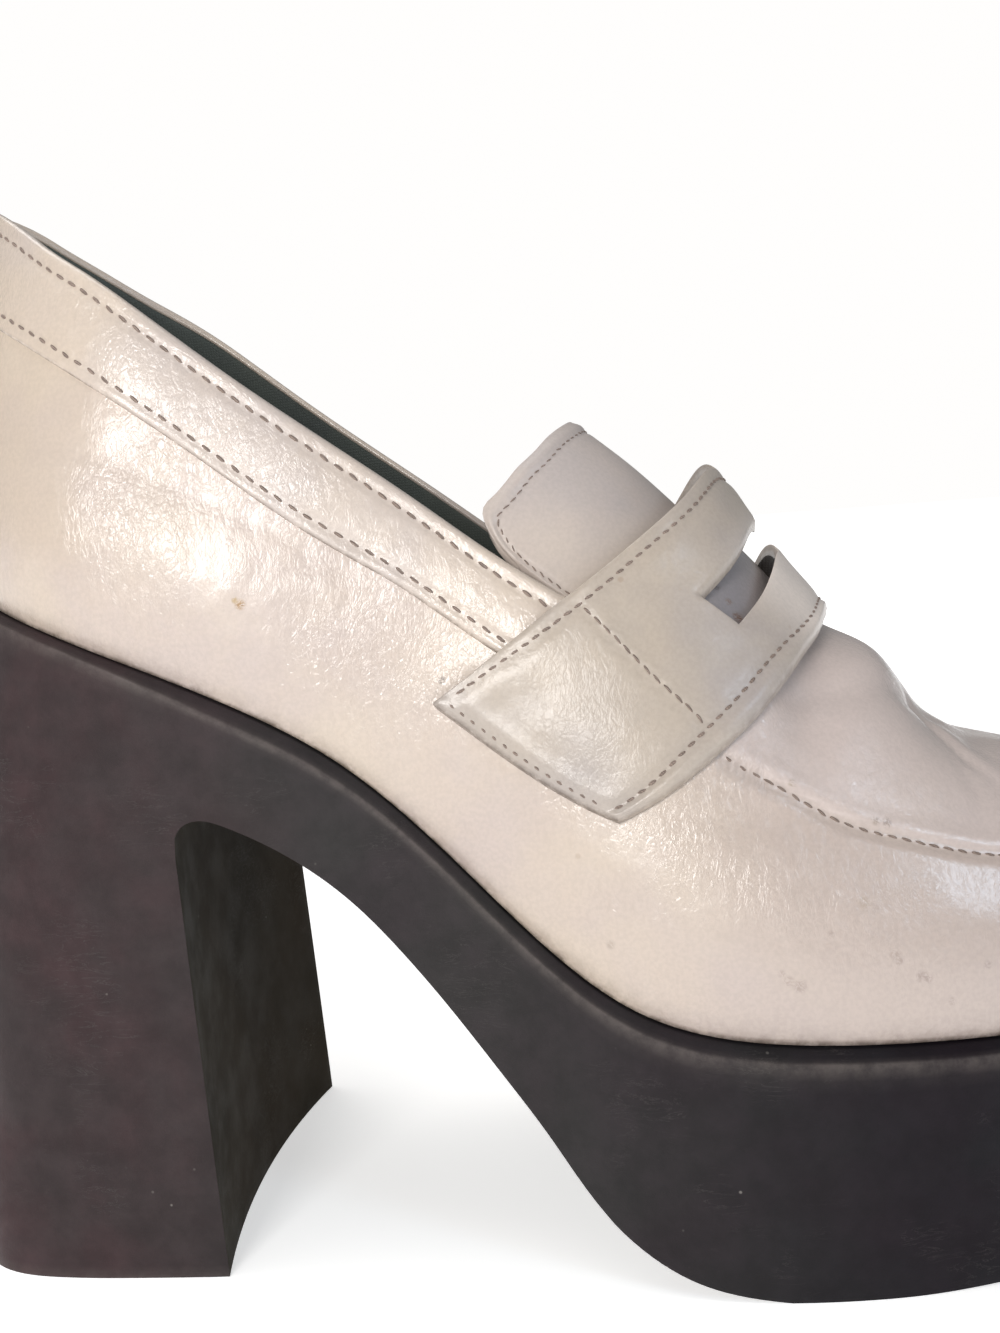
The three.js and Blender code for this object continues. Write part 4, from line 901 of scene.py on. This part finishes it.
def build_thread():
    rows = []
    # collar: one row 3.2 mm under the topline, one 2.2 mm above the lower edge of the facing, heel to strap on both sides
    for side in (-1, 1):
        xs = np.linspace(HEEL_X + .4, 112.5, 260); xs = runs(ease_out(HEEL_X + .05, 30, 90), np.linspace(30, 112.6, 170)); L = arc_len(xs, side)
        for seed, v in ((1, top_v(xs, side) - 2.95 / L), (2, facing_v(xs) + 2.5 / L)):
            P = foot(xs, side, v, .62); Nn = normal(xs, side, v); P = P + Nn * (-.26 + .12 * noise3(P, 9, 4))[:, None]; rows.append(stitch_row(P, Nn, pitch=2.9, length=2.05, radius=.27, start=1.5, bury=-.03, seed=seed + side))
    join_rows("stitches_collar", rows)
    rows = []
    # tongue: 3 mm inside the free edge
    for side in (-1, 1):
        # down the rear edge, round the corner and along the side edge until the collar hides it
        v = np.linspace(1, .6405, 120); x = tongue_rear(v) - tongue_out(v) + TONGUE_FOLD
        q = np.linspace(0, np.pi / 2, 24)[1:]; vb = .585 + (TONGUE_FOLD - .6) / 118; xc = x[-1]
        x = np.concatenate([x, xc + 6.5 * (1 - np.cos(q)), np.linspace(xc + 6.5, 119.5, 40)[1:]])
        v = np.concatenate([v, .6405 - (.6405 - vb) * np.sin(q), np.full(39, vb)])
        off = -(WALL + TONGUE_GAP); P = foot(x, side, v, off); Nn = normal(x, side, v, off); P = P + Nn * (-.26 + .10 * noise3(P, 12, 2))[:, None]; rows.append(stitch_row(P, Nn, pitch=1.7, length=1.3, radius=.14, start=.3, bury=-.02, seed=9 + side))
    join_rows("stitches_tongue", rows)
    rows = []
    for side in (-1, 1):
        # round the strap: rear edge, sewn end, front edge
        end = STRAP_END_IN / 17.5; a1 = np.linspace(7, end, 160); a3 = np.linspace(end, 7, 160); w0 = strap_width(end)
        b2 = np.linspace(rear_in(end) / w0, 1 - front_in(end) / w0, 60)
        for seed, (a, b) in enumerate(((a1, rear_in(a1) / strap_width(a1)), (np.full(60, end), b2), (a3, 1 - front_in(a3) / strap_width(a3)))):
            P, Nn = strap_surface(side, a, b)[:2]; r = a > 6.99; Nn[r, 1] = 0
            rows.append(stitch_row(P, Nn, pitch=2.15, length=1.7, radius=.25, start=.35, skip_end=.2, bury=-.03, seed=20 + seed + side))
        # the apron seam stitched through the strap
        t = np.linspace(0, 1, 60); x = 115.9 + 21.7 * t; v = apron_v(x)
        # strap's own coordinates of the seam: solve a, b by a short search
        ga, gb = np.meshgrid(np.linspace(0, 4.5, 240), np.linspace(0, 1, 160), indexing="ij")
        gx = strap_at[0](ga) * (1 - gb) + strap_at[2](ga) * gb; gv = strap_at[1](ga) * (1 - gb) + strap_at[3](ga) * gb
        sel = [np.unravel_index(np.argmin(((gx - xx) / 40) ** 2 + ((gv - vv) * 2.6) ** 2), gx.shape) for xx, vv in zip(x, v)]
        a = ga[tuple(np.array(sel).T)]; b = gb[tuple(np.array(sel).T)]
        a = np.convolve(np.pad(a, 6, "edge"), np.ones(13) / 13, "valid"); b = np.convolve(np.pad(b, 6, "edge"), np.ones(13) / 13, "valid")
        P, Nn = strap_surface(side, a, b)[:2]
        rows.append(stitch_row(P, Nn, pitch=2.25, length=1.8, radius=.20, start=1.6, skip_end=1.6, bury=-.02, seed=40 + side))
    join_rows("stitches_strap", rows)
    rows = []
    for side in (-1, 1):
        x, v = seam_line(138.2)
        P = foot(x, side, v); Nn = normal(x, side, v); h = relief(x, np.full(len(x), side), v, P); Q = P + Nn * h[:, None]
        rows.append(stitch_row(Q, Nn, pitch=2.4, length=1.9, radius=.22, bury=-.08, start=.3, skip_end=0, seed=60 + side))
    join_rows("stitches_apron", rows)


def main():
    up = build_upper(); fa = build_facing(); li = build_lining(); ins = build_insole(); to = build_tongue(); st = build_strap(); so = build_sole()
    build_thread()
    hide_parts("upper"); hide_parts("insole"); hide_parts("tongue"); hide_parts("saddle_strap"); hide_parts("sole_unit")


main()

# ------------------------------------------------------------------ floor, light, camera
me = bpy.data.meshes.new("floor"); bm = bmesh.new(); bmesh.ops.create_grid(bm, x_segments=24, y_segments=24, size=20.0); bm.to_mesh(me); bm.free()
floor = bpy.data.objects.new("floor", me); bpy.context.scene.collection.objects.link(floor)
mf, nt, b = new_mat("pale_floor"); g = N(nt)
nt.links.new(g.mix(g.noise(6, 3), (.90, .90, .90, 1), (.93, .93, .925, 1)), b.inputs["Base Color"]); b.inputs["Roughness"].default_value = .75
# painted light: the floor glows, from .54 near the shoe to full beyond 1.3 m, so it reads white out to the horizon
b.inputs["Emission Color"].default_value = (1, 1, 1, 1)
away = nt.nodes.new("ShaderNodeVectorMath"); away.operation = "LENGTH"; g.link(g.co, away.inputs[0]); g.link(g.ramp(away.outputs["Value"], .35, 1.3, .54, 1.0), b.inputs["Emission Strength"])
nt.links.new(g.bump(g.noise(400, 2), .05, .0005), b.inputs["Normal"])
me.materials.append(mf)


def area(name, loc, target, size, power, color=(1, 1, 1), size_y=None):
    l = bpy.data.lights.new(name, "AREA"); l.energy = power; l.size = size; l.color = color
    if size_y: l.shape = "RECTANGLE"; l.size_y = size_y
    o = bpy.data.objects.new(name, l); bpy.context.scene.collection.objects.link(o); o.location = loc
    o.rotation_euler = (Vector(target) - Vector(loc)).to_track_quat("-Z", "Y").to_euler()
    return o


area("key_soft", (-.195, -.62, .325), (-.07, 0, .125), .23, 2.05, (1.0, .975, .95), .16)
area("wall_bounce", (-.08, -.80, .24), (-.02, 0, .10), .55, .7, (1.0, .97, .93), .30)
area("window", (.98, -.67, .61), (.055, -.03, .06), .22, 2.3, (.66, .82, 1.0), .34)
area("top_fill", (-.35, .10, 1.2), (-.03, 0, .08), .9, 6.6, (1.0, .985, .96))
world = bpy.data.worlds.new("studio"); bpy.context.scene.world = world; world.use_nodes = True
wt = world.node_tree; bg = wt.nodes["Background"]; bg.inputs[0].default_value = (1.0, .99, .98, 1)
seen = wt.nodes.new("ShaderNodeLightPath"); level = wt.nodes.new("ShaderNodeMapRange"); wt.links.new(seen.outputs["Is Camera Ray"], level.inputs["Value"])
level.inputs["To Min"].default_value = .265; level.inputs["To Max"].default_value = 1.0; wt.links.new(level.outputs[0], bg.inputs[1])
bpy.context.scene.view_settings.view_transform = "Standard"

YAW, PITCH, ROLL, F_PX = .118583668, .110985631, .075055662, 1250.2
CAM = np.array([127.1525, -231.322, 123.932])
fwd = np.array([-math.sin(YAW) * math.cos(PITCH), math.cos(YAW) * math.cos(PITCH), -math.sin(PITCH)]); right0 = np.array([math.cos(YAW), math.sin(YAW), 0.]); down0 = np.cross(fwd, right0)
right = math.cos(ROLL) * right0 + math.sin(ROLL) * down0; down = -math.sin(ROLL) * right0 + math.cos(ROLL) * down0
cd = bpy.data.cameras.new("photo_camera"); cam = bpy.data.objects.new("photo_camera", cd); bpy.context.scene.collection.objects.link(cam)
cd.sensor_width = 36; cd.sensor_height = 36; cd.sensor_fit = "AUTO"; cd.lens = F_PX * 36 / 1333; cd.clip_start = .01; cd.clip_end = 50
R = Matrix(((right[0], -down[0], -fwd[0]), (right[1], -down[1], -fwd[1]), (right[2], -down[2], -fwd[2])))
cam.matrix_world = Matrix.Translation(Vector(((CAM[0] - FRAME_X) / 1000, CAM[1] / 1000, CAM[2] / 1000))) @ R.to_4x4()
bpy.context.scene.camera = cam
